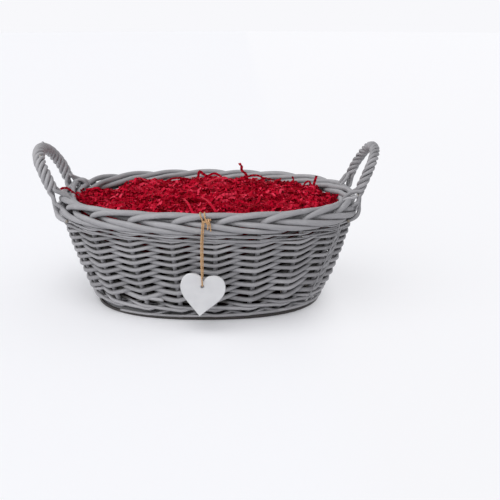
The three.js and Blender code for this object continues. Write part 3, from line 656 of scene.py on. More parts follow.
class BASKET_OT_stage(bpy.types.Operator):
    """Set the camera, the studio light and the floor"""
    bl_idname = "basket.stage"
    bl_label = "Stage"

    def execute(self, context):
        scene = context.scene
        settings = scene.basket_stage
        scene.view_settings.view_transform = "Standard"
        camera = linked("camera", bpy.data.cameras.new("camera"))
        camera.location = (0.0379, -1.0866, 0.364)
        camera.rotation_euler = (math.radians(74.15), 0, math.radians(-0.75))
        camera.data.lens = 64.22
        camera.data.clip_start = 0.01
        scene.camera = camera

        lamp = bpy.data.lights.new("overhead_softbox", "SUN")
        lamp.energy = settings.key
        lamp.angle = math.radians(80)
        softbox = linked("overhead_softbox", lamp)
        softbox.rotation_euler = (math.radians(30), math.radians(-30), 0)

        world = bpy.data.worlds.new("studio")
        scene.world = world
        world.use_nodes = True
        world.node_tree.nodes.clear()
        add = partial(add_node, world.node_tree)
        light = add("ShaderNodeBackground", Color=(0.97, 0.98, 1), Strength=0.47)
        seen = add("ShaderNodeBackground", Color=settings.backdrop, Strength=1.0)
        path = add("ShaderNodeLightPath")
        sight = path.outputs["Is Camera Ray"]
        for ray in ("Is Glossy Ray", "Is Transmission Ray"):
            sight = add("ShaderNodeMath", {"operation": "MAXIMUM"}, Value=sight,
                        Value_001=path.outputs[ray])
        chosen = add("ShaderNodeMixShader", Fac=sight, Shader=light, Shader_001=seen)
        add("ShaderNodeOutputWorld", Surface=chosen)

        rim = [(FLOOR_RADIUS * math.cos(t), FLOOR_RADIUS * math.sin(t), -FLOOR_DROP)
               for t in np.linspace(0, 2 * math.pi, 96)[:-1]]
        mesh = new_mesh(rim, [list(range(len(rim)))])
        mesh.materials.append(paint_floor(settings))
        linked("studio_floor", mesh)
        return {"FINISHED"}


def slath_end(stake):
    """Inner end of the base spoke that meets a stake."""
    place = (stake + CROSS_REACH) % STAKE_COUNT
    if place <= 2 * CROSS_REACH:
        return np.array([(place - CROSS_REACH) * SLATH_SPACING, -1.5 * SLATH_LONG_SPACING, BASE_PLANE])
    if place < STAKE_COUNT // 2:
        row = place - 2 * CROSS_REACH - 2
        return np.array([3.5 * SLATH_SPACING, row * SLATH_LONG_SPACING, BASE_PLANE])
    return slath_end(stake - STAKE_COUNT // 2) * [-1, -1, 1]


def spoke(stake):
    """Ends of the base spoke that meets a stake, the way along it and the level way beside it."""
    inner = slath_end(stake)
    outer = wall(stake_turn(stake), BASE_PLANE, -FOOT_BEND)
    along = unit(outer - inner)
    return inner, outer, along, np.array([along[1], -along[0], 0])


class BASKET_OT_base(bpy.types.Operator):
    """Lay the base: its sticks, the rods woven through them and the foot ring"""
    bl_idname = "basket.base"
    bl_label = "Base"

    def execute(self, context):
        sticks = Bundle(11)
        half = STAKE_COUNT // 2
        pairs = [(i, half - i, BASE_STICK_RADIUS) for i in range(-CROSS_REACH, CROSS_REACH + 1)]
        pairs += [(i, STAKE_COUNT - i, LONG_STICK_RADIUS)
                  for i in range(CROSS_REACH + 1, half - CROSS_REACH)]
        for front, back, radius in pairs:
            front_inner, front_outer, _, front_aside = spoke(front)
            back_inner, back_outer, _, back_aside = spoke(back)
            path = [front_outer + front_aside * PAIR_SPACING, front_inner,
                    back_inner, back_outer + back_aside * PAIR_SPACING]
            sticks.add(follow(path, 4), radius)
        sticks.willow("base_floor_sticks", "base_sticks")

        weave = Bundle(12)
        crossings = BASE_ROUNDS * STAKE_COUNT + STAKE_COUNT // 2
        for start in (0, 1):
            path = []
            for i in range(crossings):
                inner, outer, _, aside = spoke((i + start) % STAKE_COUNT)
                share = 0.06 + 0.925 * i / crossings
                at_pair = (1 - share) * np.linalg.norm(outer - inner) < PAIR_REACH
                over = 1 if (i + start + i // STAKE_COUNT) % 2 else -1
                point = inner + (outer - inner) * share
                point = point + aside * PAIR_SPACING * share * (0.5 if at_pair else 1)
                path.append(point + [0, 0, over * (PAIR_CLEARANCE if at_pair else STICK_CLEARANCE)])
            line = follow(path, 3.5)
            line[:, 2] = np.maximum(line[:, 2], BASE_LOWEST)
            weave.add(line, BASE_ROD_RADIUS, sides=7)
        weave.willow("base_floor_weave", "base_weaving_rod")

        foot = Bundle(13)
        turns = np.arange(480) / 480
        radius = HOOP_RADIUS - HOOP_THINNING * near(turns, LEFT_FRONT)
        foot.add(wall(turns, radius, HOOP_OUTWARD), radius, sides=12, closed=True, knobbly=0.0,
                 oval_share=0, tone=0)
        # The hoop's near-black colour is painted shade under the basket's edge
        foot_shade_finish = foot_shade_willow(context.scene.basket_willow)
        foot.piece("foot_rod", [foot_shade_finish, foot_shade_finish], "basket", "painted_willow", "foot_ring")
        return {"FINISHED"}


class BASKET_OT_stakes(bpy.types.Operator):
    """Raise the stakes and bend them down into the border"""
    bl_idname = "basket.stakes"
    bl_label = "Stakes and border"

    def execute(self, context):
        settings = context.scene.basket_willow
        border = settings.border_rod / MM / 2
        shape = np.random.default_rng(21)
        for index in range(STAKE_COUNT):
            _, outer, along, _ = spoke(index)
            turn = float(stake_turn(index))
            foot = [outer - along * STAKE_FOOT, outer,
                    wall(turn, BASE_PLANE + 0.15 * FOOT_BEND, -0.325 * FOOT_BEND),
                    wall(turn, BASE_PLANE + 0.64 * FOOT_BEND, -0.05 * FOOT_BEND)]
            rise = [wall(turn, height) for height in np.linspace(22, WALL_HEIGHT - 2, 9)]
            rows = follow(BORDER_STROKE * [BORDER_BAY, BORDER_UNIT, BORDER_UNIT], 3)
            bays = rows[:, 0] / BORDER_BAY
            jitter = shape.uniform(-0.3, 0.3, 2)
            sway = np.sin(np.pi * bays / bays[-1])
            lift = rim_lift(turn) * np.clip(bays / 0.05, 0, 1) + jitter[0] * sway
            low = np.interp(bays, [3.4, 5], [0, 1]) * end_lift(turn + bays / STAKE_COUNT)
            stroke = wall(turn + bays / STAKE_COUNT,
                          WALL_HEIGHT + rows[:, 2] + lift + BORDER_END_RISE * low,
                          rows[:, 1] + jitter[1] * sway - BORDER_END_INSET * low)
            thinning = np.interp(bays, *BORDER_THINNING)
            widths = [STAKE_RADIUS - 0.6, *[STAKE_RADIUS] * 5, *np.linspace(STAKE_RADIUS, 2.5, 7)]
            widths += list(border * thinning)
            rods = Bundle(2100 + index)
            tones = [rods.rng.uniform(0, 1)] * (len(foot) + len(rise)) + [0.5] * len(stroke)
            line = follow(np.column_stack([np.vstack([foot, rise, stroke]), widths, tones]), 2.2)
            rods.add(line[:, :3], line[:, 3], sides=14, knobbly=0.035, tone=line[:, 4])
            rods.willow(numbered("willow_stake", index), numbered("stake", index))
        return {"FINISHED"}


def tone_with_shade_behind_stakes(tone, outward):
    """A rod's tone, falling below 0 where the rod lies behind the stakes, which paints shade there."""
    return np.interp(outward, [-3, 1.5], [-0.95, tone])


class BASKET_OT_sides(bpy.types.Operator):
    """Weave the side: each rod in front of one stake and behind the next, a layer up per bay"""
    bl_idname = "basket.sides"
    bl_label = "Side weave"

    def execute(self, context):
        fullness = context.scene.basket_willow.weaver_fullness
        for index in range(STAKE_COUNT):
            rods = Bundle(3100 + index)
            layer = np.linspace(-LAYERS_UNDER, LAYER_COUNT - 1 + LAYERS_OVER, 240)
            pitch = layer_height(layer + 0.5) - layer_height(layer - 0.5)
            radius = fullness * pitch / 2
            reach = STAKE_RADIUS + radius * 0.96 + 0.1
            phases = rods.rng.uniform(0, 2 * math.pi, 3)
            drift = 0.3 * np.sin(layer * 1.7 + phases[0]) + 0.2 * np.sin(layer * 3.1 + phases[1])
            bulge = 0.3 * np.sin(layer * 2.3 + phases[2])
            outward = reach * np.arcsin(0.97 * np.cos(math.pi * layer)) / math.asin(0.97) + bulge
            line = beside(stake_turn(index + layer), layer_height(layer) + drift, outward, reach)
            rods.add(line, radius, sides=10, tone=tone_with_shade_behind_stakes(rods.rng.uniform(0, 1), outward))
            rods.willow(numbered("willow_weaver", index), numbered("weaver", index))
        return {"FINISHED"}


def wale(bundle, centre, spans, climb, radius, raised=0.0):
    """Three rods twined: each passes over two stakes, first above then below, and behind a third."""
    for rod_number, (first, last) in enumerate(spans):
        place = np.arange(first, last, 1 / 14)
        turn = stake_turn(place)
        phase = (place - rod_number) % 3.0
        side = np.interp(phase, [0, 0.15, 0.85, 1, 1.15, 1.8, 2, 2.2, 2.85, 3],
                         [1, 0.96, 0.96, 1, 0.9, -0.85, -1, -0.85, 0.85, 1])
        slot = np.interp(phase, [0, 1, 2, 3], [0.5, -0.5, 0, 0.5]) * 2 * radius
        reach = STAKE_RADIUS + radius + 0.1
        drift = 0.25 * np.sin(place * 1.3 + bundle.rng.uniform(0, 6))
        height = np.maximum(centre + climb * place / STAKE_COUNT + slot + drift,
                            UPSETT_LOWEST - UPSETT_DROP * near(turn, LEFT_FRONT))
        height = height + raised * end_lift(turn)
        thickness = radius * np.interp(place, [first, first + 5], [0.7, 1])
        line = beside(turn, height, reach * side, 1.25 * reach)
        tone = tone_with_shade_behind_stakes(bundle.rng.uniform(0, 1), reach * side)
        rows = follow(np.column_stack([line, thickness, tone]), 3)
        bundle.add(rows[:, :3], rows[:, 3], sides=10, tone=rows[:, 4])


class BASKET_OT_wales(bpy.types.Operator):
    """Twine the wales: the rows that set up the side, and the row that locks its top"""
    bl_idname = "basket.wales"
    bl_label = "Wales"

    def execute(self, context):
        upsett = Bundle(41)
        wale(upsett, UPSETT_HEIGHT, UPSETT_SPANS, UPSETT_CLIMB, UPSETT_RADIUS)
        upsett.willow("upsett_rows", "upsett_wale")
        top = Bundle(42)
        for height in TOP_HEIGHTS:
            wale(top, height, TOP_SPANS, TOP_CLIMB, TOP_RADIUS, TOP_END_RISE)
        top.willow("top_rows", "top_wale")
        twig = Bundle(43)
        twig.add(follow([wall(*place) for place in TWIG_PLACES], 3), TWIG_RADIUS, sides=8, tone=0)
        twig.willow("stray_twig")
        return {"FINISHED"}


def leg_turn(side):
    """Turn of a handle's leg on the right-hand end: side is -1 in front and 1 behind."""
    angle = side * math.asin((HANDLE_HALF_SPAN / RIM_HALF[1]) ** (OVAL_POWER / 2))
    return float(np.interp(angle, OVAL_ANGLES, RIM_LENGTHS)) / RIM_PERIMETER


def bow_line(handle_rise):
    """Centre line of the right-hand handle's arch, from its front foot to its rear one."""
    foot = wall(leg_turn(-1), BOW_FOOT, HANDLE_OUTWARD)
    angle = np.linspace(0, math.pi, 25)
    sine = np.clip(np.sin(angle), 0, 1)
    return follow(np.stack([foot[0] + HANDLE_LEAN * sine ** 0.73, foot[1] * np.cos(angle),
                            BOW_FOOT + handle_rise * sine ** 0.62], -1), 1.2)


HANDLE_STRANDS = 4
HANDLE_TURNS = 5.2
STRAND_APART = 3.2
TUCK_RADIUS = 2.2
CUT_STRAND_RADIUS = 1.9

# Each handle: radius of its core and of a strand, distance between their centre lines, height
# added to the arch, and the range of the strands' tones
HANDLE_SIZES = {
    "right": (1.5, 2.25, 3.9, 1.4, (-0.1, 0.5)),
    "left": (2.3, 2.65, 4.75, -0.6, (0.4, 1)),
}

# Routes of a leg's rods by the border, from the leg down: outward, up from the weave's top, and
# aside towards the other leg. The first is for the core, the others are shared by the strands.
CORE_LEG = [(14, 24, 0), (12.8, 16, 0), (10, 9, 0)]
HUGGING = [(14.2, 25, 0), (13.8, 16, 0), (14.2, 10, -1), (13, 4.8, -3), (10.6, 1.8, -7), (8.4, 0.8, -13),
           (6.8, 0.4, -20)]
LONG_HUGGING = [(14.4, 25, 0), (13, 17, 0), (12, 11, -1), (11.6, 6.6, -7), (10.9, 5.2, -14),
                (9.4, 4, -22), (7.2, 3.2, -30)]
SHORT = [(14.8, 27, 0), (13.6, 21.5, 0), (9.4, 17.5, -1), (4.6, 14, -2)]
INWARD = [(6, 32, 0), (1.2, 28.6, 0), (-3, 24.4, 0), (-6.4, 17, 0), (-8.4, 8, 0), (-9, 0, 0)]
STEEP = [(9.5, 33, 0), (6, 28.5, 0), (2.5, 24.5, 0), (0, 17, 0), (-2, 8, 0)]
OVER_BORDER = [(10, 37, 0), (7, 32, -7), (4, 28.4, -14), (2, 25.6, -20), (0, 22.5, -26)]
HANDLE_LEGS = {
    "right": ((HUGGING, INWARD, INWARD, SHORT), (SHORT, STEEP, STEEP, HUGGING)),
    "left": ((SHORT, OVER_BORDER, STEEP, SHORT), (LONG_HUGGING, INWARD, INWARD, SHORT)),
}

# Short rods tucked over the border beside a leg: which leg, how far aside, and their routes
TUCK = [(12.2, 10, 2), (13, 16, 1), (9, 22.5, -3), (2, 28.8, -8), (-4, 27.4, -12), (-7.5, 20, -15)]
HANDLE_TUCKS = {
    "right": [(-1, -5.5, [(14, 30, 0), (9, 26, 0), (3, 25, 0), (-3, 21.5, 0), (-7, 14, 0)])],
    "left": [(-1, 0, TUCK), (-1, 5.4, TUCK)],
}
# Ends of strands that were cut off where they leave the left-hand handle
CUT_STRANDS = {
    "right": [],
    "left": [
        [(-203.6, 5.5, 187.6), (-202.4, 8.6, 192.2)],
        [(-200.4, -30, 175.6), (-197.2, -33.2, 182)],
        [(-188.8, -47, 154.6), (-185.4, -49.2, 161.6)],
    ],
}


def leg_path(places, side, apart):
    """A leg's rod beside the border, moved along the rim by the distance that keeps rods apart."""
    return [wall(leg_turn(side) - side * (apart + aside) / RIM_PERIMETER, WALL_HEIGHT + up, outward)
            for outward, up, aside in places]


class BASKET_OT_handles(bpy.types.Operator):
    """Rope the two end handles and tuck their rods round the border"""
    bl_idname = "basket.handles"
    bl_label = "Handles"

    def execute(self, context):
        self.rope("right", 1, 5100)
        self.rope("left", -1, 5200)
        return {"FINISHED"}

    def rope(self, name, mirror, seed):
        """One handle: its core and the strands roped round it, tucked in by the border."""
        core, strand, lay, rise, tones = HANDLE_SIZES[name]
        arch = bow_line(HANDLE_RISE + rise)
        tangents = unit(np.gradient(arch, axis=0))
        away = np.array([HANDLE_RISE, 0, -HANDLE_LEAN])
        outward = unit(away - tangents * (tangents @ away)[:, None])
        aside = np.cross(tangents, outward)
        share = np.linspace(0, 1, len(arch))
        turned = np.array([mirror, mirror, 1])
        bow = Bundle(seed)
        path = leg_path(CORE_LEG, -1, 0)[::-1] + list(arch[::8]) + leg_path(CORE_LEG, 1, 0)
        bow.add(follow(path, 2.5) * turned, core, sides=9)
        bow.willow(f"{name}_bow", f"{name}_handle_bow")
        for number in range(HANDLE_STRANDS):
            start = 2 * math.pi * (number + 0.5) / HANDLE_STRANDS
            apart = np.sign(round(math.sin(start), 3)) * STRAND_APART
            angle = start + 2 * math.pi * HANDLE_TURNS * share
            wound = coiled(arch, outward, aside, lay, angle)
            front, rear = (leg_path(HANDLE_LEGS[name][leg][number], side, apart)
                           for leg, side in ((0, -1), (1, 1)))
            rods = Bundle(seed + 1 + number)
            line = follow(front[::-1] + list(wound[4:-4:3]) + rear, 1.8) * turned
            tone = rods.rng.uniform(*tones)
            rods.add(line, strand, sides=9, knobbly=0.1, oval_share=0.08, tone=tone)
            rods.willow(f"{name}_wrap_{number + 1}", f"{name}_handle_strand_{number + 1}")
        tucks = Bundle(seed + 9)
        for leg, apart, places in HANDLE_TUCKS[name]:
            line = follow(leg_path(places, leg, apart), 2) * turned
            tucks.add(line, TUCK_RADIUS, sides=9, tone=0.8)
        for ends in CUT_STRANDS[name]:
            tucks.add(follow(ends, 1.5), CUT_STRAND_RADIUS, sides=9, tone=0.8)
        tucks.willow(f"{name}_tucks")


def fill_reach(x, y):
    """Share of the way from the middle of the fill to its widest outline."""
    across, along = np.abs(x / FILL_HALF[0]), np.abs(y / FILL_HALF[1])
    return (across ** OVAL_POWER + along ** OVAL_POWER) ** (1 / OVAL_POWER)


def mound_height(x, y):
    """Height of the paper's surface: a mound with tufts in wandering rows, heaped here and there."""
    share = 2 / math.pi * np.arccos(np.clip(fill_reach(x, y), 0, 0.9999) ** 1.25)
    along, across = 2 * math.pi * x / TUFT_SPACING, 2 * math.pi * y / TUFT_SPACING
    rows = np.sin(along + 1.9 * np.sin(across / 3.1))
    lift = TUFT_HEIGHT / 2 * rows * np.cos(across + 1.7 * np.sin(along / 2.7))
    for at_x, at_y, spread, rise in HUMPS:
        lift = lift + rise * np.exp(-((x - at_x) ** 2 + (y - at_y) ** 2) / spread ** 2)
    return FILL_SHOULDER + (FILL_CROWN - FILL_SHOULDER) * share ** 0.6 + lift


class Paper:
    """Crimped strips gathered into one mesh, each with a tone of its own."""

    def __init__(self, seed, width):
        self.rng = np.random.default_rng(seed)
        self.width = width
        self.points, self.faces, self.tones = [], [], []
        self.count = 0

    def add(self, line, crimp=1.0, tone=None, width=None, roll=None):
        """A strip along a line of folds: it zigzags by the crimp and rolls a little as it goes."""
        rng, folds = self.rng, len(line)
        tangent = unit(np.gradient(line, axis=0))
        level = unit(np.cross([0.05, 0.02, 1.0], tangent))
        steep = np.cross(tangent, level)
        start = rng.normal(0, 0.7) if roll is None else roll
        roll = start + np.linspace(0, rng.normal(0, 0.6), folds)
        normal = steep * np.cos(roll)[:, None] + level * np.sin(roll)[:, None]
        across = np.cross(tangent, normal)
        fold = crimp * rng.uniform(0.75, 1.25, folds) * np.where(np.arange(folds) % 2, 1, -1)
        line = line + normal * fold[:, None]
        half = (width or self.width) / 2 * rng.uniform(0.8, 1.15)
        skew = tangent * half * rng.uniform(-0.5, 0.5)
        edge, thick = across * half + skew, normal * 0.1
        ring = np.stack([line - edge - thick, line + edge - thick,
                         line + edge + thick, line - edge + thick], 1)
        self.points.append(ring.reshape(-1, 3))
        i = np.arange(folds - 1)[:, None] * 4 + self.count
        j = np.arange(4)[None]
        k = (j + 1) % 4
        self.faces.extend(np.stack([i + j, i + 4 + j, i + 4 + k, i + k], -1).reshape(-1, 4).tolist())
        first, last = self.count, self.count + (folds - 1) * 4
        self.faces.append([first, first + 1, first + 2, first + 3])
        self.faces.append([last + 3, last + 2, last + 1, last])
        chosen = np.clip(rng.normal(0.45, 0.28), 0, 1) if tone is None else tone
        self.tones.append(np.full(folds * 4, chosen))
        self.count += folds * 4

    def scatter(self, count, low, high, straight=0.1, edge_share=0.0):
        """Strips strewn over the mound, between two heights off its surface."""
        rng = self.rng
        for _ in range(count):
            share = math.sqrt(rng.uniform(edge_share, 0.96))
            x, y = oval(rng.uniform(0, 2 * math.pi), FILL_HALF) * share
            folds = int(rng.integers(7, 20))
            step = rng.uniform(1.9, 2.7)
            turn = rng.uniform(0, 2 * math.pi) + np.cumsum(rng.normal(rng.normal(0, 0.1), 0.1, folds))
            x = x + np.cumsum(np.cos(turn)) * step
            y = y + np.cumsum(np.sin(turn)) * step
            inside = np.minimum(1, 0.975 / np.maximum(fill_reach(x, y), 1e-6))
            x, y = x * inside, y * inside
            tilt = np.linspace(-1, 1, folds) * rng.normal(0, 1.6)
            arch = rng.uniform(-1.5, 2.5) * np.sin(np.linspace(0, math.pi, folds))
            z = mound_height(x, y) + rng.uniform(low, high) + arch + tilt
            # Painted light and shade: clumps rise and take paler tones, while strips in the hollows
            # between them take darker ones, down into the shade red
            clump = math.sin(x[0] / 10 + 2 * math.sin(y[0] / 13)) * math.cos(y[0] / 8)
            z = z + 1.1 * clump
            if rng.uniform() < straight:
                self.add(np.stack([x, y, z], -1)[:8], 0.15, rng.uniform(0.75, 1.2), self.width * 1.15)
            else:
                tone = np.clip(rng.normal(0.42 + 0.3 * clump, 0.26), -0.3, 1.1)
                self.add(np.stack([x, y, z], -1), rng.uniform(0.5, 1.0), tone)

    def heap(self, count, centre, spread, heights):
        """Strips curled in a small heap of their own, between two heights."""
        rng = self.rng
        for _ in range(count):
            x, y = rng.uniform(-1, 1, 2) * spread + centre
            folds = int(rng.integers(4, 9))
            turn = rng.uniform(0, 2 * math.pi) + np.cumsum(rng.normal(0, 0.3, folds))
            x = x + np.cumsum(np.cos(turn)) * 1.6
            y = y + np.cumsum(np.sin(turn)) * 2.2
            z = rng.uniform(*heights) + np.linspace(-1, 1, folds) * rng.normal(0, 1.5)
            self.add(np.stack([x, y, z], -1), 0.8, np.clip(rng.normal(0.45, 0.3), -0.2, 1.1))

    def piece(self, name, material):
        """The object that the strips make, riding on the fill."""
        mesh = new_mesh(np.vstack(self.points), self.faces)
        made = new_piece(name, mesh, [material], "paper_fill", smooth=False)
        add_attribute(made, "strip_tone", "FLOAT", np.concatenate(self.tones))
        return made


# How far off the mound's surface the strips of each layer lie, at least and at most
STRIP_LAYERS = ((-9, -6), (-7.5, -4.5), (-6, -2.2))
# Strips that stand up out of the heap: the points of each, from the heap to its tip
STANDING_STRIPS = [
    [(49, 40, 133), (48.5, 40, 139), (48.2, 40, 144), (44.6, 40, 148), (41.6, 40, 151), (42, 40, 155),
     (39, 40, 159.4)],
    [(41, 44, 133), (44, 43, 138), (47.5, 42, 143), (49, 41, 137)],
    [(-17, 42, 136), (-14, 40, 142), (-12, 40, 149), (-6, 38, 145), (2, 37, 142), (10, 36, 139)],
    [(-3, 45, 141), (2, 44, 144), (7, 44, 145.5), (12, 43, 144), (17, 42, 140)],
    [(134, 40, 128), (136, 40, 136), (138, 40, 143)],
    [(-110, 33, 130), (-106, 32, 135), (-103, 31, 138.5)],
    [(86, 44, 132), (89, 42, 137), (93, 41, 139)],
    [(-150, -8, 120), (-158, -12, 127), (-165.5, -12, 133.5), (-171.5, -11, 138), (-177, -11, 138.5),
     (-181.5, -11, 136), (-183, -11, 131)],
    [(104, 42, 131), (108, 41, 137), (107, 41, 142)],
    [(62, 44, 134), (70, 43, 139), (80, 42, 138), (88, 42, 134)],
    [(-57, 35, 135), (-50, 35, 139.5), (-41, 36, 141), (-32, 38, 140.5), (-23, 41, 138)],
    [(43, 46, 137), (52, 47, 141.5), (61, 49, 142), (71, 51, 138)],
    [(120, 33, 127), (123, 35, 134), (128, 36, 137), (131, 35, 132)],
]
# Straight bright strips that lie across the front of the heap
LYING_STRIPS = [
    [(-26.3, -65.5, 137), (-20, -88, 136), (-12.7, -111, 128)],
    [(-6.6, -61, 138), (3, -82, 137), (12.5, -104, 130)],
    [(-4, 1, 141), (8, 20, 143), (22, 44, 141)],
    [(-70, -46, 137), (-52, -44, 139), (-36, -52, 138)],
    [(40, -52, 138), (58, -46, 139.5), (78, -48, 137)],
]


class BASKET_OT_paper(bpy.types.Operator):
    """Fill the basket with crimped strips of red paper, heaped over a packed core"""
    bl_idname = "basket.paper"
    bl_label = "Paper fill"

    def execute(self, context):
        settings = context.scene.basket_paper
        paper = crinkle_paper(settings)
        rng = np.random.default_rng(61)

        turns = np.arange(CORE_SIDES) / CORE_SIDES
        heights = np.linspace(FILL_BOTTOM, CORE_WALL_TOP, 15)
        rows = [wall(turns, height, -CORE_INSET) for height in heights]
        edge = rows[-1]
        for share in np.linspace(1, 0.04, 26):
            flat = edge[:, :2] * share
            rows.append(np.column_stack([flat, mound_height(*flat.T) - CORE_DEPTH]))
        rows = np.array(rows)
        rows[1:] += rng.normal(0, 0.9, rows[1:].shape) * [1, 1, 1.3]
        mesh = new_mesh(rows.reshape(-1, 3), tube_faces(len(rows), CORE_SIDES))
        core = new_piece("paper_core", mesh, [paper], "paper_fill", ["paper_fill"],
                         smooth=False)
        # Painted shade: the core's tone falls towards the bottom, so it is near black low down and red
        # only near the top
        shade = np.interp(rows[:, :, 2].ravel(), [0, 70, 100, 125], [-1, -0.95, -0.5, -0.1])
        add_attribute(core, "strip_tone", "FLOAT", shade + rng.uniform(-0.1, 0.1, shade.size))

        width = settings.strip_width / MM
        third = settings.strip_count // 3
        for number, (low, high) in enumerate(STRIP_LAYERS):
            strips = Paper(620 + number, width)
            strips.scatter(third, low, high, straight=0.06 + 0.04 * number)
            strips.piece(f"paper_strips_{number + 1}", paper)
        standing = Paper(640, width)
        for points in STANDING_STRIPS:
            standing.add(follow(points, 2.4)[:, :3], 0.85, 0.3, 3.0, math.pi / 2)
        for points in LYING_STRIPS:
            standing.add(follow(points, 4)[:, :3], 0.2, 0.65, 3.6, 0)
        standing.heap(110, (-155, -4), (7, 22), (119, 130))
        standing.heap(70, (148, -10), (6, 17), (117, 126))
        standing.piece("paper_standing", paper)
        return {"FINISHED"}


def heart_outline():
    """The heart's outline as cubic Bezier points, in millimetres from its notch line."""
    left = [(-x, z) for x, z in HEART_HALF[-2::-1]]
    points = [(x * HEART_SIZE[0] / 2, z * HEART_SIZE[1]) for x, z in HEART_HALF + left]
    line = []
    for i in range(0, len(points) - 1, 3):
        a, b, c, d = (np.array(p) for p in points[i:i + 4])
        t = np.linspace(0, 1, 24, endpoint=False)[:, None]
        line.extend((1 - t) ** 3 * a + 3 * (1 - t) ** 2 * t * b + 3 * (1 - t) * t * t * c + t ** 3 * d)
    return np.array(line)


class BASKET_OT_heart(bpy.types.Operator):
    """Cut the wooden heart, drill it and sand its edges"""
    bl_idname = "basket.heart"
    bl_label = "Heart"

    def execute(self, context):
        settings = context.scene.basket_heart
        outline = heart_outline()
        x, z = outline.T
        cross = x * np.roll(z, -1) - np.roll(x, -1) * z
        centre = np.array([((x + np.roll(x, -1)) * cross).sum(), ((z + np.roll(z, -1)) * cross).sum()])
        centre /= 3 * cross.sum()
        hole = np.array([(HOLE_DEPTH + centre[1]) * math.tan(HEART_TILT), -HOLE_DEPTH])
        bore = [hole + HOLE_RADIUS * np.array([math.cos(t), math.sin(t)])
                for t in np.linspace(0, 2 * math.pi, 40, endpoint=False)]
        curve = bpy.data.curves.new("heart_outline", "CURVE")
        curve.dimensions = "2D"
        curve.fill_mode = "BOTH"
        for loop in (outline, bore):
            spline = curve.splines.new("POLY")
            spline.points.add(len(loop) - 1)
            for point, place in zip(spline.points, loop):
                point.co = (*((place - hole) * MM), 0, 1)
            spline.use_cyclic_u = True
        curve.bevel_depth = settings.rounding
        curve.bevel_resolution = 3
        curve.offset = -settings.rounding
        curve.extrude = HEART_SIZE[2] / 2 * MM - settings.rounding
        drawn = bpy.data.objects.new("heart_outline", curve)
        mesh = bpy.data.meshes.new_from_object(drawn)
        bpy.data.objects.remove(drawn)
        bpy.data.curves.remove(curve)
        place = Matrix.Translation(HEART_PLACE * MM) @ Matrix.Rotation(math.pi / 2, 4, "X")
        mesh.transform(place @ Matrix.Rotation(-HEART_TILT, 4, "Z"))
        new_piece("white_heart", mesh, [painted_board(settings)], "wooden_heart",
                  ["wooden_heart"])
        return {"FINISHED"}


def rim_place(x, outward, up):
    """A place by the front of the border: along the rim, then outward and up in border units."""
    return wall(x / RIM_PERIMETER, WALL_HEIGHT + up * BORDER_UNIT, outward * BORDER_UNIT)


def add_twine(bundle, line, ply_radius, twist=5.0):
    """Two plies laid round each other along a line, once round in each twist."""
    line = follow(line, 0.45)
    across, side = carried_frames(line)
    along = distances(line)
    for ply in (0, 1):
        angle = 2 * math.pi * along / twist + math.pi * ply
        laid = coiled(line, across, side, 0.86 * ply_radius, angle)
        bundle.add(laid, ply_radius, sides=6, knobbly=0.12, oval_share=0.08)
    return line


# One turn of twine round the border: outward and up. There are two, each with its place along
# the rim at the foot and at the top
LOOP_ROUTE = [
    (2.95, 6.2), (2.6, 7.5), (1.7, 8.35), (0.5, 8.55), (-0.7, 8.25), (-1.9, 7.8), (-2.9, 7.3),
    (-3.15, 6.4), (-2.55, 5.6), (-1.5, 5.15), (-0.2, 5.3), (1.1, 5.7), (2.4, 5.95),
]
LOOP_PLACES = ((1.3, -1.9), (4.3, 2.8))
TAIL_ROUTES = [
    [(5.6, 3.3, 6.3), (6.9, 4.1, 5.7), (6.9, 4.3, 4.9), (6.3, 4.2, 3.5)],
    [(7.2, 3.4, 6.3), (8.8, 4.2, 5.7), (9.3, 4.4, 4.4), (9.8, 4.2, 3.0)],
]
# The strand that runs to the knot, and the knot: turns of twine wound into a lump
KNOT_ROUTE = [(0.4, 3.2, 6.6), (1.9, 3.75, 6.25), (4, 3.9, 6.1), (6.2, 4.1, 6.2), (8.4, 3.9, 6.4)]
KNOT_SHIFT = (7.2, -1.6, 0.2)
KNOT_TURNS = 4.4
KNOT_RADIUS = 2.2
KNOT_WIDTH = 4.3

# The hanging twine leaves the knot at its top, and turns back at its foot in the heart's hole
CORD_TOP = 127.6
CORD_FOOT = 57.1
CORD_SPREAD = 3.3


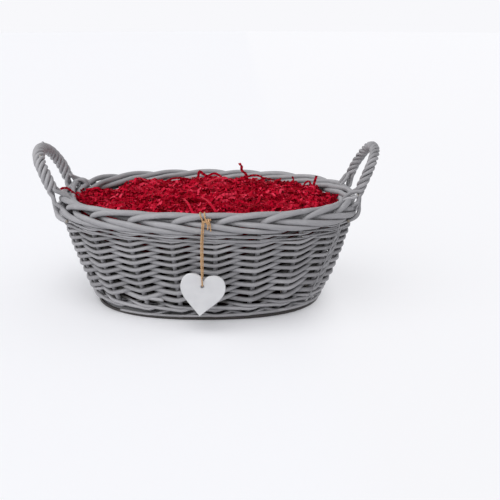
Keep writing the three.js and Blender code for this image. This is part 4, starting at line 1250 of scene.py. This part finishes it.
class BASKET_OT_twine(bpy.types.Operator):
    """Tie the twine round the border and hang the heart on it"""
    bl_idname = "basket.twine"
    bl_label = "Twine"

    def execute(self, context):
        settings = context.scene.basket_twine
        ply = settings.ply_radius / MM
        jute = spun_jute(settings)
        tied = Bundle(71)
        for place in LOOP_PLACES:
            lean = np.interp([up for _, up in LOOP_ROUTE], [6, 8.5], place)
            route = [rim_place(TWINE_X + x, *turn) for x, turn in zip(lean, LOOP_ROUTE)]
            add_twine(tied, route, ply)
        t = np.linspace(0, 1, 60)
        angle = 2 * math.pi * KNOT_TURNS * t
        radius = KNOT_RADIUS * (0.75 + 0.4 * np.sin(math.pi * t))
        lump = np.stack([KNOT_WIDTH * t - 2.3 + 0.6 * np.sin(angle * 0.5), radius * np.cos(angle),
                         radius * np.sin(angle) + 1.2 * t - 0.6], -1)
        add_twine(tied, rim_place(TWINE_X, *KNOT_PLACE) + KNOT_SHIFT + lump, ply)
        for route in (KNOT_ROUTE, *TAIL_ROUTES):
            add_twine(tied, [rim_place(TWINE_X + x, *place) for x, *place in route], ply)
        knot = tied.piece("twine_tie", [jute, jute], "basket", "jute_twine", "twine_loop")

        before = HEART_PLACE.y - CORD_SPREAD
        behind = HEART_PLACE.y + CORD_SPREAD
        at_border = -RIM_HALF[1] - 3.71 * BORDER_UNIT - 1.3
        top = CORD_TOP
        low = CORD_FOOT
        route = [
            (0.8, at_border + 1.8, top), (0.2, at_border - 0.3, top - 8),
            (-0.8, at_border - 2, top - 24), (-0.75, before, 76), (0, before, low + 1.5),
            (0, before + 1, low), (0, behind - 1, low), (0, behind, low + 1.5), (0.75, behind, 76),
            (0.9, at_border, top - 24), (1.8, at_border + 0.2, top - 8), (2.4, at_border + 1.8, top),
        ]
        hanging = Bundle(72)
        line = add_twine(hanging, [np.add(place, (TWINE_X, 0, 0)) for place in route], ply)
        cord = hanging.piece("hanging_cord", [jute, jute], "hanging_twine", "jute_twine",
                             "hanging_twine")
        return {"FINISHED"}


class BASKET_PT_build(bpy.types.Panel):
    """Lists the basket's pieces in the order they are made"""
    bl_label = "Wicker Basket"
    bl_space_type = "VIEW_3D"
    bl_region_type = "UI"
    bl_category = "Basket"

    def draw(self, context):
        for operator in OPERATORS:
            self.layout.operator(operator.bl_idname)
        for name in SETTINGS:
            group = getattr(context.scene, name)
            box = self.layout.box()
            for key in group.bl_rna.properties.keys():
                if key not in {"rna_type", "name"}:
                    box.prop(group, key)


SETTINGS = {
    "basket_willow": WillowSettings, "basket_paper": PaperSettings, "basket_heart": HeartSettings,
    "basket_twine": TwineSettings, "basket_stage": StageSettings,
}
OPERATORS = (
    BASKET_OT_stage, BASKET_OT_base, BASKET_OT_stakes, BASKET_OT_sides, BASKET_OT_wales,
    BASKET_OT_handles, BASKET_OT_paper, BASKET_OT_heart, BASKET_OT_twine,
)


def register():
    for kind in (*SETTINGS.values(), *OPERATORS, BASKET_PT_build):
        bpy.utils.register_class(kind)
    for name, kind in SETTINGS.items():
        setattr(bpy.types.Scene, name, PointerProperty(type=kind))


def unregister():
    for name in SETTINGS:
        delattr(bpy.types.Scene, name)
    for kind in (BASKET_PT_build, *OPERATORS, *SETTINGS.values()):
        bpy.utils.unregister_class(kind)


def main():
    """Makes the basket piece by piece."""
    register()
    for default in ("Cube", "Light", "Camera"):
        if default in bpy.data.objects:
            bpy.data.objects.remove(bpy.data.objects[default])
    bpy.ops.basket.stage()
    bpy.ops.basket.base()
    bpy.ops.basket.stakes()
    bpy.ops.basket.sides()
    bpy.ops.basket.wales()
    bpy.ops.basket.handles()
    bpy.ops.basket.paper()
    bpy.ops.basket.heart()
    bpy.ops.basket.twine()


if __name__ == "__main__":
    main()
